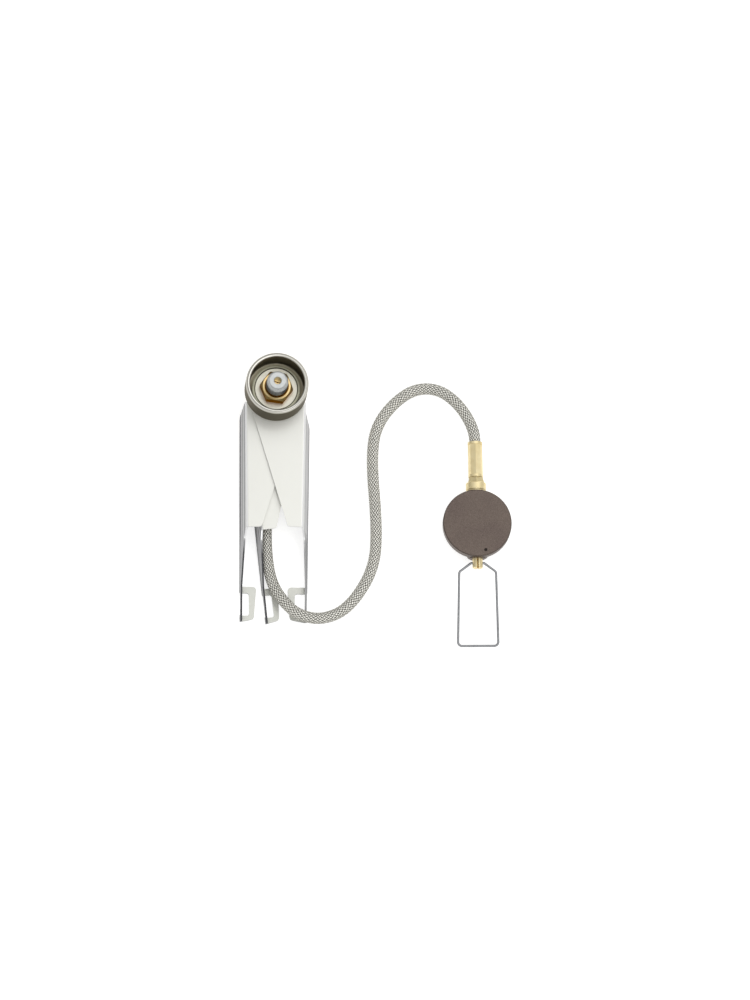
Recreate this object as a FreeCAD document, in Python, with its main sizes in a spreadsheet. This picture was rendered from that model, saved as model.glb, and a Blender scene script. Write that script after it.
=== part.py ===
import FreeCAD, Part
import math
import os
import Sketcher

# Folding tripod burner base: three sheet legs on a hub, a cup, a braided hose and a canister valve.
# Frame: hub axis is Z, table is Z = 0, the folded legs point along -Y, the valve lies at +X. Millimetres.
V = FreeCAD.Vector
doc = FreeCAD.newDocument("burner_base")

# Every size of the object, one row each
SIZES = [
    ("leg_sheet", 0.8, "thickness of the leg stampings"),
    ("bend_inside", 0.6, "inside radius of the leg bends"),
    ("leg_reach", 117.2, "hub axis to the end of a foot"),
    ("plate_reach", 70.7, "hub axis to the end of a leg plate"),
    ("plate_end_width", 7.7, "width of a leg plate at its end"),
    ("plate_corner", 2.0, "corner radius of that end"),
    ("eye_inset", 1.0, "fold to the round eye at the hub"),
    ("fold_offset", 15.4, "leg centre line to the fold"),
    ("splay", 14.0, "lean of the flange in degrees"),
    ("flange_start", 5.2, "start of the flange on the outer legs"),
    ("inner_flange_start", 11.0, "start of the flange on the middle leg"),
    ("flange_nose", 4.0, "radius of the flange's front corner"),
    ("nose_run", 5.5, "length of the slope at the flange's start"),
    ("nose_shelf", 4.6, "bend that runs ahead of the right leg's flange"),
    ("flange_clear", 4.8, "height of the flange's lower edge at its start"),
    ("flange_foot_clear", 1.6, "height of that edge at the foot"),
    ("knee_height", 10.4, "height of the flange past the plate"),
    ("knee_run", 4.5, "length of the slope past the plate's end"),
    ("knee_radius", 3.0, "radius at the foot of that slope"),
    ("strip_height", 4.2, "height of the flange at the foot's start"),
    ("strip_end_height", 3.2, "height of the flange at the foot's end"),
    ("foot_length", 18.5, "length of a foot"),
    ("foot_width", 9.0, "width of a foot at its start"),
    ("right_foot_extra", 1.4, "right foot wider than the others"),
    ("foot_taper", 1.2, "foot narrower at its end"),
    ("foot_skew", 1.2, "slant of the foot's end"),
    ("foot_corner", 1.6, "clipped corners of a foot"),
    ("foot_bar", 3.7, "width left inside the foot's window"),
    ("foot_arm", 3.4, "length left at each end of the window"),
    ("window_rise", 2.4, "height of the window in the flange"),
    ("right_turn", -1.1, "right leg, degrees from -Y"),
    ("left_turn", 0.7, "left leg, degrees from -Y"),
    ("middle_turn", 6.9, "middle leg, degrees from -Y"),
    ("block_radius", 9.0, "inlet block"),
    ("block_height", 12.2, "inlet block"),
    ("block_chamfer", 0.8, "inlet block, lower edge"),
    ("chamber_radius", 3.0, "gas chamber in the block"),
    ("chamber_floor", 3.5, "gas chamber in the block"),
    ("post_seat", 8.0, "height of the seat under the post"),
    ("post_gasket_height", 0.6, "flat seal under the post"),
    ("port_height", 6.5, "height of the block's port"),
    ("port_boss", 5.0, "radius of the boss around the port"),
    ("port_face", 10.5, "hub axis to the port's face"),
    ("port_radius", 2.5, "bore of the port"),
    ("port_turn", -3.3, "heading of the port, degrees from -Y"),
    ("thrust_height", 0.6, "washer on the block"),
    ("washer_height", 0.5, "washers between the legs"),
    ("washer_radius", 9.5, "outer radius of the washers"),
    ("turn_gap", 0.05, "running gap of turning pieces"),
    ("fit_gap", 0.05, "gap around pieces that are pressed or screwed in"),
    ("end_gap", 0.1, "gap at the ends of pieces that meet"),
    ("crimp_gap", 0.1, "gap between hose and ferrule"),
    ("sleeve_wall", 1.05, "wall of the bush that the legs turn on"),
    ("shank_radius", 4.9, "gas post below the thread"),
    ("thread_radius", 5.55, "gas post, thread"),
    ("thread_length", 9.2, "gas post, thread"),
    ("post_rise", 21.6, "post's top above the cup's base"),
    ("post_chamfer", 1.3, "gas post, top edge"),
    ("gas_bore", 1.0, "gas passages"),
    ("post_mouth", 1.85, "hole in the post's top"),
    ("post_mouth_depth", 6.8, "hole in the post's top"),
    ("filter_height", 0.4, "gauze disc"),
    ("screw_recess", 4.0, "slotted screw below the post's top"),
    ("screw_slot", 0.7, "width of its slot"),
    ("cup_radius", 16.0, "burner cup"),
    ("cup_height", 17.2, "burner cup"),
    ("cup_wall", 0.9, "burner cup"),
    ("cup_corner", 2.2, "burner cup, lower edge"),
    ("rim_width", 2.2, "rolled rim of the cup"),
    ("floor_level", 5.1, "floor's top above the cup's base"),
    ("floor_sheet", 1.2, "thickness of the floor"),
    ("floor_gap", 2.9, "cup wall to the floor's edge"),
    ("floor_ring_width", 1.1, "width of its outer ring"),
    ("floor_groove", 0.4, "width of its groove"),
    ("floor_ring", 0.4, "rise of its outer ring"),
    ("standoff_wall", 2.05, "wall of the tube under the floor"),
    ("nut_flats", 14.8, "brass nut across flats"),
    ("nut_height", 5.6, "brass nut"),
    ("hose_radius", 3.0, "braided hose"),
    ("hose_wall", 0.9, "braided hose"),
    ("tail_gap", 0.15, "hose bore to the hose tails"),
    ("barb_rise", 0.12, "barbs on the hose tails"),
    ("nipple_flats", 8.0, "hose nipple across flats"),
    ("nipple_hex", 4.0, "length of the nipple's hexagon"),
    ("nipple_tail", 14.5, "length of the nipple's tail"),
    ("ferrule_wall", 0.3, "wall of the ferrules at their flats"),
    ("collar_wall", 0.65, "wall of the ferrules' collars"),
    ("collar_length", 1.2, "length of a collar"),
    ("base_ferrule", 16.2, "length of the base ferrule"),
    ("valve_ferrule", 18.4, "length of the valve ferrule"),
    ("valve_x", 103.1, "valve axis"),
    ("valve_y", -66.8, "valve axis"),
    ("valve_turn", 1.1, "valve turned about its axis, degrees"),
    ("valve_radius", 17.5, "valve disc"),
    ("valve_cover", 0.4, "disc's top above the port bosses"),
    ("valve_edge", 0.5, "valve disc, edge chamfers"),
    ("valve_wall", 5.1, "upright wall of the disc with its chamfer"),
    ("collar_radius", 11.5, "collar around the socket"),
    ("collar_height", 3.0, "collar around the socket"),
    ("socket_radius", 5.56, "canister thread"),
    ("socket_lead", 0.6, "lead-in of the canister thread"),
    ("socket_length", 4.8, "length of the canister thread"),
    ("relief_radius", 6.1, "relief above the thread"),
    ("relief_height", 1.6, "relief above the thread"),
    ("axis_rise", 1.4, "spindle and hose axis above the relief"),
    ("boss_wall", 1.25, "wall of the bosses at the two ports"),
    ("boss_proud", 0.1, "port's face beyond the disc's edge"),
    ("hose_port", 3.0, "bore of the hose port"),
    ("bush_wall", 1.35, "gland bush with its gaps"),
    ("gland_depth", 8.2, "valve axis to the gland port's floor"),
    ("seat_length", 1.8, "length of the seat pocket"),
    ("seat_pocket", 1.6, "radius of the seat pocket"),
    ("seat_hole", 0.6, "hole of the valve seat"),
    ("needle_radius", 1.4, "valve needle"),
    ("spindle_radius", 2.6, "valve spindle"),
    ("spindle_tip", 2.6, "bail's hinge to the spindle's end"),
    ("spindle_slot", 0.8, "slot in the spindle's end"),
    ("hinge_reach", 2.3, "port's face to the bail's hinge"),
    ("bush_inset", 1.3, "gland port's floor to the gland bush"),
    ("lock_offset", 0.0, "gland bore to the lock pin's axis"),
    ("lock_inset", 3.4, "port's face to the lock pin"),
    ("lock_radius", 0.8, "lock pin"),
    ("adapter_washer_height", 0.5, "washer under the hose adapter"),
    ("adapter_radius", 5.1, "flange of the hose adapter"),
    ("spigot_length", 7.4, "adapter's spigot in the hose port"),
    ("port_room", 1.7, "hose port's floor beyond the spigot"),
    ("adapter_flange", 4.0, "length of that flange"),
    ("adapter_flats", 6.6, "neck of the adapter across flats"),
    ("adapter_neck", 2.9, "length of the neck"),
    ("neck_flare", 15.0, "flare of the neck towards the flange in degrees"),
    ("adapter_tail", 16.0, "length of the adapter's tail"),
    ("wire_radius", 0.6, "bail wire"),
    ("bail_half", 10.3, "half width of the bail"),
    ("bail_taper", 0.9, "bail narrower at its shoulders, each side"),
    ("bail_shoulder", 4.4, "hinge to the bail's shoulders"),
    ("bail_length", 42.1, "hinge to the bail's end bar"),
]

sheet = doc.addObject("Spreadsheet::Sheet", "Sizes")


# A size carries its number and the expression that gives the same number
class Size:
    def __init__(self, value, text):
        self.value = value
        self.text = text

    def __add__(self, other):
        other = as_size(other)
        return Size(self.value + other.value, "(%s + %s)" % (self.text, other.text))

    def __radd__(self, other):
        return as_size(other) + self

    def __sub__(self, other):
        other = as_size(other)
        return Size(self.value - other.value, "(%s - %s)" % (self.text, other.text))

    def __rsub__(self, other):
        return as_size(other) - self

    def __mul__(self, other):
        other = as_size(other)
        return Size(self.value * other.value, "(%s * %s)" % (self.text, other.text))

    def __rmul__(self, other):
        return as_size(other) * self

    def __truediv__(self, other):
        other = as_size(other)
        return Size(self.value / other.value, "(%s / %s)" % (self.text, other.text))

    def __neg__(self):
        return Size(-self.value, "(0 - %s)" % self.text)


def as_size(number):
    if isinstance(number, Size):
        return number
    if number < 0:
        return Size(float(number), "(0 - %.6f)" % -number)
    return Size(float(number), "%.6f" % number)


def root(size):
    return Size(math.sqrt(size.value), "sqrt(%s)" % size.text)


def tangent(size):
    return Size(math.tan(math.radians(size.value)), "tan(%s * 1 deg)" % size.text)


class Sizes:
    pass


S = Sizes()
for row, entry in enumerate(SIZES):
    sheet.set("A%d" % (row + 1), entry[0])
    sheet.set("B%d" % (row + 1), "%g" % entry[1])
    sheet.set("C%d" % (row + 1), entry[2])
    sheet.setAlias("B%d" % (row + 1), entry[0])
    setattr(S, entry[0], Size(entry[1], "Sizes." + entry[0]))
doc.recompute()

# Sizes that follow from others, so that what fits together stays together
S.eye_radius = S.fold_offset - S.eye_inset
S.sleeve_radius = S.shank_radius + S.turn_gap + S.sleeve_wall
S.standoff_radius = S.shank_radius + S.turn_gap + S.standoff_wall
S.floor_radius = S.cup_radius - S.cup_wall - S.floor_gap
S.floor_disc = S.floor_radius - S.floor_ring_width - S.floor_groove
S.hose_bore = S.hose_radius - S.hose_wall
S.tail_radius = S.hose_bore - S.tail_gap
S.ferrule_flat = S.hose_radius + S.crimp_gap + S.ferrule_wall
S.ferrule_collar = S.hose_radius + S.crimp_gap + S.collar_wall
S.axis_height = S.socket_lead + S.socket_length + S.relief_height + S.axis_rise
S.gland_port = S.spindle_radius + S.bush_wall
S.boss_radius = S.gland_port + S.boss_wall
S.valve_height = S.axis_height + S.boss_radius + S.valve_cover
S.boss_reach = S.valve_radius + S.boss_proud
S.port_floor = S.boss_reach + S.adapter_washer_height - S.spigot_length - S.port_room
S.seat_depth = S.gland_depth - S.seat_length
S.bush_start = S.gland_depth + S.bush_inset
S.lock_across = S.gland_port + S.lock_offset
S.lock_along = S.boss_reach - S.lock_inset
S.bail_hinge = S.boss_reach + S.hinge_reach
S.spindle_end = S.bail_hinge + S.spindle_tip


def bind(item, prop, size):
    size = as_size(size)
    item.setExpression(prop, size.text)


def new_body(label):
    body = doc.addObject("PartDesign::Body", label)
    body.Label = label
    return body


# A sketch on one of the body's own planes, moved along the plane's normal
def sketch_on(body, role, shift=None):
    sk = body.newObject("Sketcher::SketchObject", body.Name + "_sketch")
    for plane in body.Origin.OriginFeatures:
        if plane.Role == role:
            sk.AttachmentSupport = [(plane, "")]
    sk.MapMode = "FlatFace"
    if shift is not None:
        shift = as_size(shift)
        sk.AttachmentOffset = FreeCAD.Placement(V(0, 0, shift.value), FreeCAD.Rotation())
        bind(sk, "AttachmentOffset.Base.z", shift)
    return sk


def add_constraints(sk, rules):
    first = sk.ConstraintCount
    sk.addConstraint([rule[0] for rule in rules])
    for index, rule in enumerate(rules):
        if rule[1] is not None:
            sk.setExpression("Constraints[%d]" % (first + index), rule[1].text)


# Straight sides through the points; a third number rounds that corner
def outline(sk, points, closed=True):
    corners = [(as_size(p[0]), as_size(p[1]), as_size(p[2]) if len(p) > 2 else None) for p in points]
    count = len(corners)
    flat = [V(c[0].value, c[1].value, 0) for c in corners]
    starts = list(flat)
    ends = list(flat)
    arcs = {}
    for i, corner in enumerate(corners):
        if corner[2] is None:
            continue
        a = flat[i - 1] - flat[i]
        b = flat[(i + 1) % count] - flat[i]
        a.normalize()
        b.normalize()
        half = math.acos(max(-1.0, min(1.0, a.dot(b)))) / 2.0
        reach = corner[2].value / math.tan(half)
        ends[i] = flat[i] + a * reach
        starts[i] = flat[i] + b * reach
        mid = a + b
        mid.normalize()
        centre = flat[i] + mid * (corner[2].value / math.sin(half))
        arcs[i] = (centre, centre - mid * corner[2].value)
    sides = count if closed else count - 1
    lines = []
    for i in range(sides):
        j = (i + 1) % count
        lines.append(sk.addGeometry(Part.LineSegment(starts[i], ends[j]), False))
    rules = []
    for i, corner in enumerate(corners):
        before = lines[i - 1] if (closed or i > 0) else None
        after = lines[i] if i < sides else None
        if corner[2] is None:
            if before is not None and after is not None:
                rules.append((Sketcher.Constraint("Coincident", before, 2, after, 1), None))
            geo = after if after is not None else before
            pos = 1 if after is not None else 2
            rules.append((Sketcher.Constraint("DistanceX", -1, 1, geo, pos, corner[0].value), corner[0]))
            rules.append((Sketcher.Constraint("DistanceY", -1, 1, geo, pos, corner[1].value), corner[1]))
            continue
        centre, middle = arcs[i]
        arc = Part.Arc(ends[i], middle, starts[i])
        turn = (ends[i] - centre).cross(starts[i] - centre).z
        geo = sk.addGeometry(arc, False)
        first, last = (1, 2) if turn > 0 else (2, 1)
        point = sk.addGeometry(Part.Point(flat[i]), True)
        rules.append((Sketcher.Constraint("Tangent", before, 2, geo, first), None))
        rules.append((Sketcher.Constraint("Tangent", geo, last, after, 1), None))
        rules.append((Sketcher.Constraint("PointOnObject", point, 1, before), None))
        rules.append((Sketcher.Constraint("PointOnObject", point, 1, after), None))
        rules.append((Sketcher.Constraint("DistanceX", -1, 1, point, 1, corner[0].value), corner[0]))
        rules.append((Sketcher.Constraint("DistanceY", -1, 1, point, 1, corner[1].value), corner[1]))
        rules.append((Sketcher.Constraint("Radius", geo, corner[2].value), corner[2]))
    add_constraints(sk, rules)


def circle(sk, x, y, radius):
    x = as_size(x)
    y = as_size(y)
    radius = as_size(radius)
    geo = sk.addGeometry(Part.Circle(V(x.value, y.value, 0), V(0, 0, 1), radius.value), False)
    add_constraints(sk, [
        (Sketcher.Constraint("DistanceX", -1, 1, geo, 3, x.value), x),
        (Sketcher.Constraint("DistanceY", -1, 1, geo, 3, y.value), y),
        (Sketcher.Constraint("Radius", geo, radius.value), radius),
    ])


def pad(body, sk, length, reverse=False, both=False):
    item = body.newObject("PartDesign::Pad", body.Name + "_pad")
    item.Profile = sk
    item.Length = as_size(length).value
    bind(item, "Length", length)
    item.Reversed = reverse
    if both:
        item.SideType = "Symmetric"
    return item


# Without a length the cut goes through everything on both sides
def pocket(body, sk, length=None, reverse=False):
    item = body.newObject("PartDesign::Pocket", body.Name + "_pocket")
    item.Profile = sk
    if length is None:
        item.Type = "ThroughAll"
        item.SideType = "Symmetric"
    else:
        item.Length = as_size(length).value
        bind(item, "Length", length)
    item.Reversed = reverse
    return item


# Turned shape from a profile of radius and height
def turned(body, points, cut=False):
    sk = sketch_on(body, "XZ_Plane")
    outline(sk, points)
    item = body.newObject("PartDesign::Groove" if cut else "PartDesign::Revolution", body.Name + "_turned")
    item.Profile = sk
    item.ReferenceAxis = (sk, ["V_Axis"])
    item.Angle = 360.0
    return item


def regular(sides, flats_half, shift=0.0):
    reach = flats_half / math.cos(math.pi / sides)
    points = []
    for k in range(sides):
        angle = 2.0 * math.pi * k / sides + shift
        points.append((reach * math.cos(angle), reach * math.sin(angle)))
    return points


def ring(label, inner, outer, low, high):
    body = new_body(label)
    turned(body, [(inner, low), (outer, low), (outer, high), (inner, high)])
    return body


# Position of a piece: a point, a turn about Z and a first turn about X
def place(item, x, y, z, about_z=0.0, about_x=0.0):
    x = as_size(x)
    y = as_size(y)
    z = as_size(z)
    turn = FreeCAD.Rotation(V(0, 0, 1), about_z) * FreeCAD.Rotation(V(1, 0, 0), about_x)
    item.Placement = FreeCAD.Placement(V(x.value, y.value, z.value), turn)
    bind(item, "Placement.Base.x", x)
    bind(item, "Placement.Base.y", y)
    bind(item, "Placement.Base.z", z)


NODES = []


def keep(item):
    NODES.append(item)
    return item


# Heights of the hub's stack, from the table up
z_middle = S.block_height + S.thrust_height + S.turn_gap
z_lower_washer = z_middle + S.leg_sheet + S.turn_gap
z_left = z_lower_washer + S.washer_height + S.turn_gap
z_upper_washer = z_left + S.leg_sheet + S.turn_gap
z_right = z_upper_washer + S.washer_height
z_cup = z_right + S.leg_sheet
z_floor = z_cup + S.floor_level
z_post = z_cup + S.post_rise
post_hole = S.shank_radius + S.turn_gap
sleeve_hole = S.sleeve_radius + S.turn_gap


# One leg: plate with an eye, splayed flange, strip and windowed foot; the hand mirrors it
def leg(label, hand, turn, z_under, hole, start, shelf, extra):
    body = new_body(label)
    z_top = z_under + S.leg_sheet
    lean = tangent(S.splay)
    across = S.leg_sheet * root(1.0 + lean * lean)
    outer_bend = S.bend_inside + S.leg_sheet
    lip = S.fold_offset - 3.0
    foot_out = S.fold_offset + lean * z_top
    foot_in = foot_out - S.foot_width - extra
    foot_start = S.leg_reach - S.foot_length
    sk = sketch_on(body, "YZ_Plane", start)
    outline(sk, [
        (hand * lip, z_top),
        (hand * S.fold_offset, z_top, outer_bend),
        (hand * foot_out, 0.0, outer_bend),
        (hand * foot_in, 0.0),
        (hand * foot_in, S.leg_sheet),
        (hand * (S.fold_offset + lean * (z_top - S.leg_sheet) - across), S.leg_sheet, S.bend_inside),
        (hand * (S.fold_offset + lean * S.leg_sheet - across), z_under, S.bend_inside),
        (hand * lip, z_under),
    ])
    pad(body, sk, S.leg_reach - start)
    # Plate that narrows from the eye to its end
    end_y = S.fold_offset - S.plate_end_width
    far = S.plate_reach * S.plate_reach + end_y * end_y
    reach = root(far - S.eye_radius * S.eye_radius)
    touch_x = S.eye_radius * (S.eye_radius * S.plate_reach + reach * end_y) / far
    touch_y = S.eye_radius * (S.eye_radius * end_y - reach * S.plate_reach) / far
    sk = sketch_on(body, "XY_Plane", z_under)
    outline(sk, [
        (start, hand * (S.fold_offset - 1.5)),
        (S.plate_reach, hand * (S.fold_offset - 1.5)),
        (S.plate_reach, hand * end_y, S.plate_corner),
        (touch_x, hand * touch_y),
        (0.0, 0.0),
        (0.0, hand * S.eye_radius),
        (start, hand * S.eye_radius),
    ])
    pad(body, sk, S.leg_sheet)
    sk = sketch_on(body, "XY_Plane", z_under)
    circle(sk, 0.0, 0.0, S.eye_radius)
    pad(body, sk, S.leg_sheet)
    # Side view of the flange: lower edge and nose, then the step down to the strip
    sk = sketch_on(body, "XZ_Plane")
    outline(sk, [
        (start - 1.0, -1.0),
        (foot_start, -1.0),
        (foot_start, S.flange_foot_clear),
        (start + shelf + S.nose_run, S.flange_clear, S.flange_nose),
        (start + shelf, z_under - 0.3),
        (start - 1.0, z_under - 0.3),
    ])
    pocket(body, sk)
    sk = sketch_on(body, "XZ_Plane")
    outline(sk, [
        (S.plate_reach, z_top + 1.0),
        (S.plate_reach, z_under - 0.2),
        (S.plate_reach + S.knee_run, S.knee_height, S.knee_radius),
        (foot_start, S.strip_height),
        (S.leg_reach + 1.0, S.strip_end_height),
        (S.leg_reach + 1.0, z_top + 1.0),
    ])
    pocket(body, sk)
    sk = sketch_on(body, "XY_Plane", z_top + 1.0)
    circle(sk, 0.0, 0.0, hole)
    pocket(body, sk, S.leg_sheet + 2.0)
    # Window in the foot
    sk = sketch_on(body, "XY_Plane", -1.0)
    outline(sk, [
        (foot_start + S.foot_arm, hand * (foot_in + S.foot_bar), 1.2),
        (S.leg_reach - S.foot_arm, hand * (foot_in + S.foot_bar), 1.2),
        (S.leg_reach - S.foot_arm, hand * (foot_out + 2.0)),
        (foot_start + S.foot_arm, hand * (foot_out + 2.0)),
    ])
    pocket(body, sk, S.window_rise + 1.0, True)
    # Foot narrows to a slanted end and its corners are clipped
    clip = S.foot_corner
    narrow = foot_in + S.foot_taper
    foot_end = S.leg_reach - S.foot_skew
    sk = sketch_on(body, "XY_Plane", -1.0)
    outline(sk, [
        (foot_start - 1.0, hand * (foot_in - 1.0)),
        (foot_start - 1.0, hand * (foot_in + clip)),
        (foot_start, hand * (foot_in + clip)),
        (foot_start + clip * 0.3, hand * (foot_in + clip * 0.3)),
        (foot_start + clip, hand * foot_in),
        (foot_end - clip, hand * narrow),
        (foot_end - clip * 0.3, hand * (narrow + clip * 0.3)),
        (foot_end, hand * (narrow + clip)),
        (S.leg_reach, hand * foot_out),
        (S.leg_reach + 1.0, hand * foot_out),
        (S.leg_reach + 1.0, hand * (foot_in - 1.0)),
    ])
    pocket(body, sk, S.leg_sheet + 1.2, True)
    place(body, 0.0, 0.0, 0.0, turn.value - 90.0)
    return keep(body)


leg("right_leg", 1.0, S.right_turn, z_right, post_hole, S.flange_start, S.nose_shelf, S.right_foot_extra)
leg("left_leg", -1.0, S.left_turn, z_left, sleeve_hole, S.flange_start, as_size(0.0), as_size(0.0))
leg("middle_leg", -1.0, S.middle_turn, z_middle, sleeve_hole, S.inner_flange_start, as_size(0.0), as_size(0.0))

# Inlet block: chamber, seat for the post and a boss with the hose port
block = new_body("inlet_block")
turned(block, [
    (0.0, 0.0),
    (S.block_radius - S.block_chamfer, 0.0),
    (S.block_radius, S.block_chamfer),
    (S.block_radius, S.block_height),
    (0.0, S.block_height),
])
sk = sketch_on(block, "XZ_Plane")
circle(sk, 0.0, S.port_height, S.port_boss)
pad(block, sk, S.port_face)
turned(block, [
    (0.0, S.chamber_floor),
    (S.chamber_radius, S.chamber_floor),
    (S.chamber_radius, S.post_seat),
    (post_hole, S.post_seat),
    (post_hole, S.block_height + 1.0),
    (0.0, S.block_height + 1.0),
], True)
sk = sketch_on(block, "XZ_Plane")
circle(sk, 0.0, S.port_height, S.port_radius)
pocket(block, sk, S.port_face + 1.0, True)
place(block, 0.0, 0.0, 0.0, S.port_turn.value)
keep(block)

# Hub stack
keep(ring("post_gasket", S.chamber_radius, S.shank_radius - S.end_gap, S.post_seat,
          S.post_seat + S.post_gasket_height))
keep(ring("hub_sleeve", post_hole, S.sleeve_radius, S.block_height, z_right))
keep(ring("thrust_washer", sleeve_hole, S.washer_radius, S.block_height, S.block_height + S.thrust_height))
keep(ring("lower_leg_washer", sleeve_hole, S.washer_radius, z_lower_washer, z_lower_washer + S.washer_height))
keep(ring("upper_leg_washer", sleeve_hole, S.washer_radius, z_upper_washer, z_right))

# Gas post with its thread, gauze and slotted screw
post = new_body("gas_post")
z_thread_top = z_post - S.post_chamfer
z_mouth = z_post - S.post_mouth_depth
turned(post, [
    (S.gas_bore, S.post_seat + S.post_gasket_height),
    (S.shank_radius, S.post_seat + S.post_gasket_height),
    (S.shank_radius, z_thread_top - S.thread_length),
    (S.thread_radius, z_thread_top - S.thread_length),
    (S.thread_radius, z_thread_top),
    (S.thread_radius - S.post_chamfer, z_post),
    (S.post_mouth, z_post),
    (S.post_mouth, z_mouth),
    (S.gas_bore, z_mouth),
])
keep(post)
keep(ring("post_filter", 0.15, S.post_mouth - S.fit_gap, z_mouth, z_mouth + S.filter_height))
screw = new_body("post_filter_screw")
z_screw = z_post - S.screw_recess
turned(screw, [
    (0.4, z_mouth + S.filter_height + S.end_gap),
    (S.post_mouth - S.fit_gap, z_mouth + S.filter_height + S.end_gap),
    (S.post_mouth - S.fit_gap, z_screw),
    (0.4, z_screw),
])
sk = sketch_on(screw, "XY_Plane", z_screw + 0.5)
outline(sk, [(-3.0, -S.screw_slot / 2.0), (3.0, -S.screw_slot / 2.0), (3.0, S.screw_slot / 2.0),
             (-3.0, S.screw_slot / 2.0)])
pocket(screw, sk, 1.4)
place(screw, 0.0, 0.0, 0.0, -15.0)
keep(screw)

# Cup with a rolled rim, standoff tube, stepped floor
cup = new_body("burner_cup")
rim_round = S.rim_width * 0.45
turned(cup, [
    (post_hole, 0.0),
    (S.cup_radius, 0.0, S.cup_corner),
    (S.cup_radius, S.cup_height, rim_round),
    (S.cup_radius - S.rim_width, S.cup_height, rim_round),
    (S.cup_radius - S.rim_width, S.cup_height - S.rim_width, rim_round),
    (S.cup_radius - S.cup_wall, S.cup_height - S.rim_width),
    (S.cup_radius - S.cup_wall, S.cup_wall, S.cup_corner - S.cup_wall),
    (post_hole, S.cup_wall),
])
place(cup, 0.0, 0.0, z_cup)
keep(cup)
keep(ring("cup_standoff", post_hole, S.standoff_radius, z_cup + S.cup_wall, z_floor - S.floor_sheet))
floor = new_body("cup_floor")
turned(floor, [
    (post_hole, z_floor - S.floor_sheet),
    (S.floor_radius, z_floor - S.floor_sheet),
    (S.floor_radius, z_floor + S.floor_ring),
    (S.floor_disc + S.floor_groove, z_floor + S.floor_ring),
    (S.floor_disc + S.floor_groove, z_floor - S.floor_sheet / 2.0),
    (S.floor_disc, z_floor - S.floor_sheet / 2.0),
    (S.floor_disc, z_floor),
    (post_hole, z_floor),
])
keep(floor)

# Brass nut with chamfered corners
nut = new_body("post_nut")
sk = sketch_on(nut, "XY_Plane", z_floor)
outline(sk, regular(6, S.nut_flats / 2.0, -0.13))
circle(sk, 0.0, 0.0, post_hole)
pad(nut, sk, S.nut_height)
z_nut = z_floor + S.nut_height
turned(nut, [
    (S.nut_flats * 0.48, z_nut),
    (S.nut_flats * 0.7, z_nut),
    (S.nut_flats * 0.7, z_nut - S.nut_flats * 0.2),
], True)
turned(nut, [
    (post_hole - 0.5, z_nut),
    (S.thread_radius + 0.6, z_nut),
    (S.thread_radius + 0.6, z_nut - 0.9),
    (post_hole - 0.5, z_nut - 0.9),
], True)
keep(nut)


# Hose tail: a barbed pipe that follows a spigot and its hexagon
def tail(points, begin, length):
    for k in range(3):
        at = begin + length * (0.25 + 0.25 * k)
        points.append((S.tail_radius, at - 1.5))
        points.append((S.tail_radius + S.barb_rise, at))
        points.append((S.tail_radius, at + 0.1))
    points.append((S.tail_radius - 0.3, begin + length))
    return points


# Nipple in the block's port, along its own Z
nipple = new_body("base_hose_nipple")
hex_end = S.port_face + S.nipple_hex
shape = [(S.gas_bore, S.shank_radius + S.end_gap), (S.port_radius - S.fit_gap, S.shank_radius + S.end_gap)]
shape += [(S.port_radius - S.fit_gap, S.port_face), (S.nipple_flats * 0.45, S.port_face)]
shape += [(S.nipple_flats * 0.45, hex_end), (S.tail_radius, hex_end)]
shape = tail(shape, hex_end, S.nipple_tail)
shape += [(S.gas_bore, hex_end + S.nipple_tail)]
turned(nipple, shape)
sk = sketch_on(nipple, "XY_Plane", S.port_face)
outline(sk, regular(6, S.nipple_flats / 2.0))
circle(sk, 0.0, 0.0, S.gas_bore)
pad(nipple, sk, S.nipple_hex)
place(nipple, 0.0, 0.0, S.port_height, S.port_turn.value, 90.0)
keep(nipple)


# Crimped eight-sided ferrule with a collar at each end, along its own Z
def ferrule(label, begin, length):
    body = new_body(label)
    bore = S.hose_radius + S.crimp_gap
    sk = sketch_on(body, "XY_Plane", begin)
    outline(sk, regular(8, S.ferrule_flat))
    circle(sk, 0.0, 0.0, bore)
    pad(body, sk, length)
    for low in (begin, begin + length - S.collar_length):
        turned(body, [(bore, low), (S.ferrule_collar, low), (S.ferrule_collar, low + S.collar_length),
                      (bore, low + S.collar_length)])
    return body


base_ferrule = ferrule("base_hose_ferrule", hex_end + S.end_gap, S.base_ferrule)
place(base_ferrule, 0.0, 0.0, S.port_height, S.port_turn.value, 90.0)
keep(base_ferrule)

# Valve body: disc that tapers to the socket collar, two port bosses, bores
valve = new_body("valve_body")
turned(valve, [
    (0.0, 0.0),
    (S.collar_radius - S.valve_edge, 0.0),
    (S.collar_radius, S.valve_edge),
    (S.collar_radius, S.collar_height),
    (S.valve_radius, S.valve_height - S.valve_wall),
    (S.valve_radius, S.valve_height - S.valve_edge),
    (S.valve_radius - S.valve_edge, S.valve_height),
    (0.0, S.valve_height),
])
sk = sketch_on(valve, "XZ_Plane")
circle(sk, 0.0, S.axis_height, S.boss_radius)
pad(valve, sk, 2.0 * S.boss_reach, False, True)
z_thread = S.socket_lead + S.socket_length
z_relief = z_thread + S.relief_height
turned(valve, [
    (0.0, 0.0),
    (S.socket_radius + S.socket_lead, 0.0),
    (S.socket_radius, S.socket_lead),
    (S.socket_radius, z_thread),
    (S.relief_radius, z_thread),
    (S.relief_radius, z_relief),
    (1.25, z_relief),
    (1.25, S.axis_height),
    (0.0, S.axis_height),
], True)
sk = sketch_on(valve, "YZ_Plane")
sk.addGeometry(Part.LineSegment(V(-30, S.axis_height.value, 0), V(30, S.axis_height.value, 0)), True)
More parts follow.
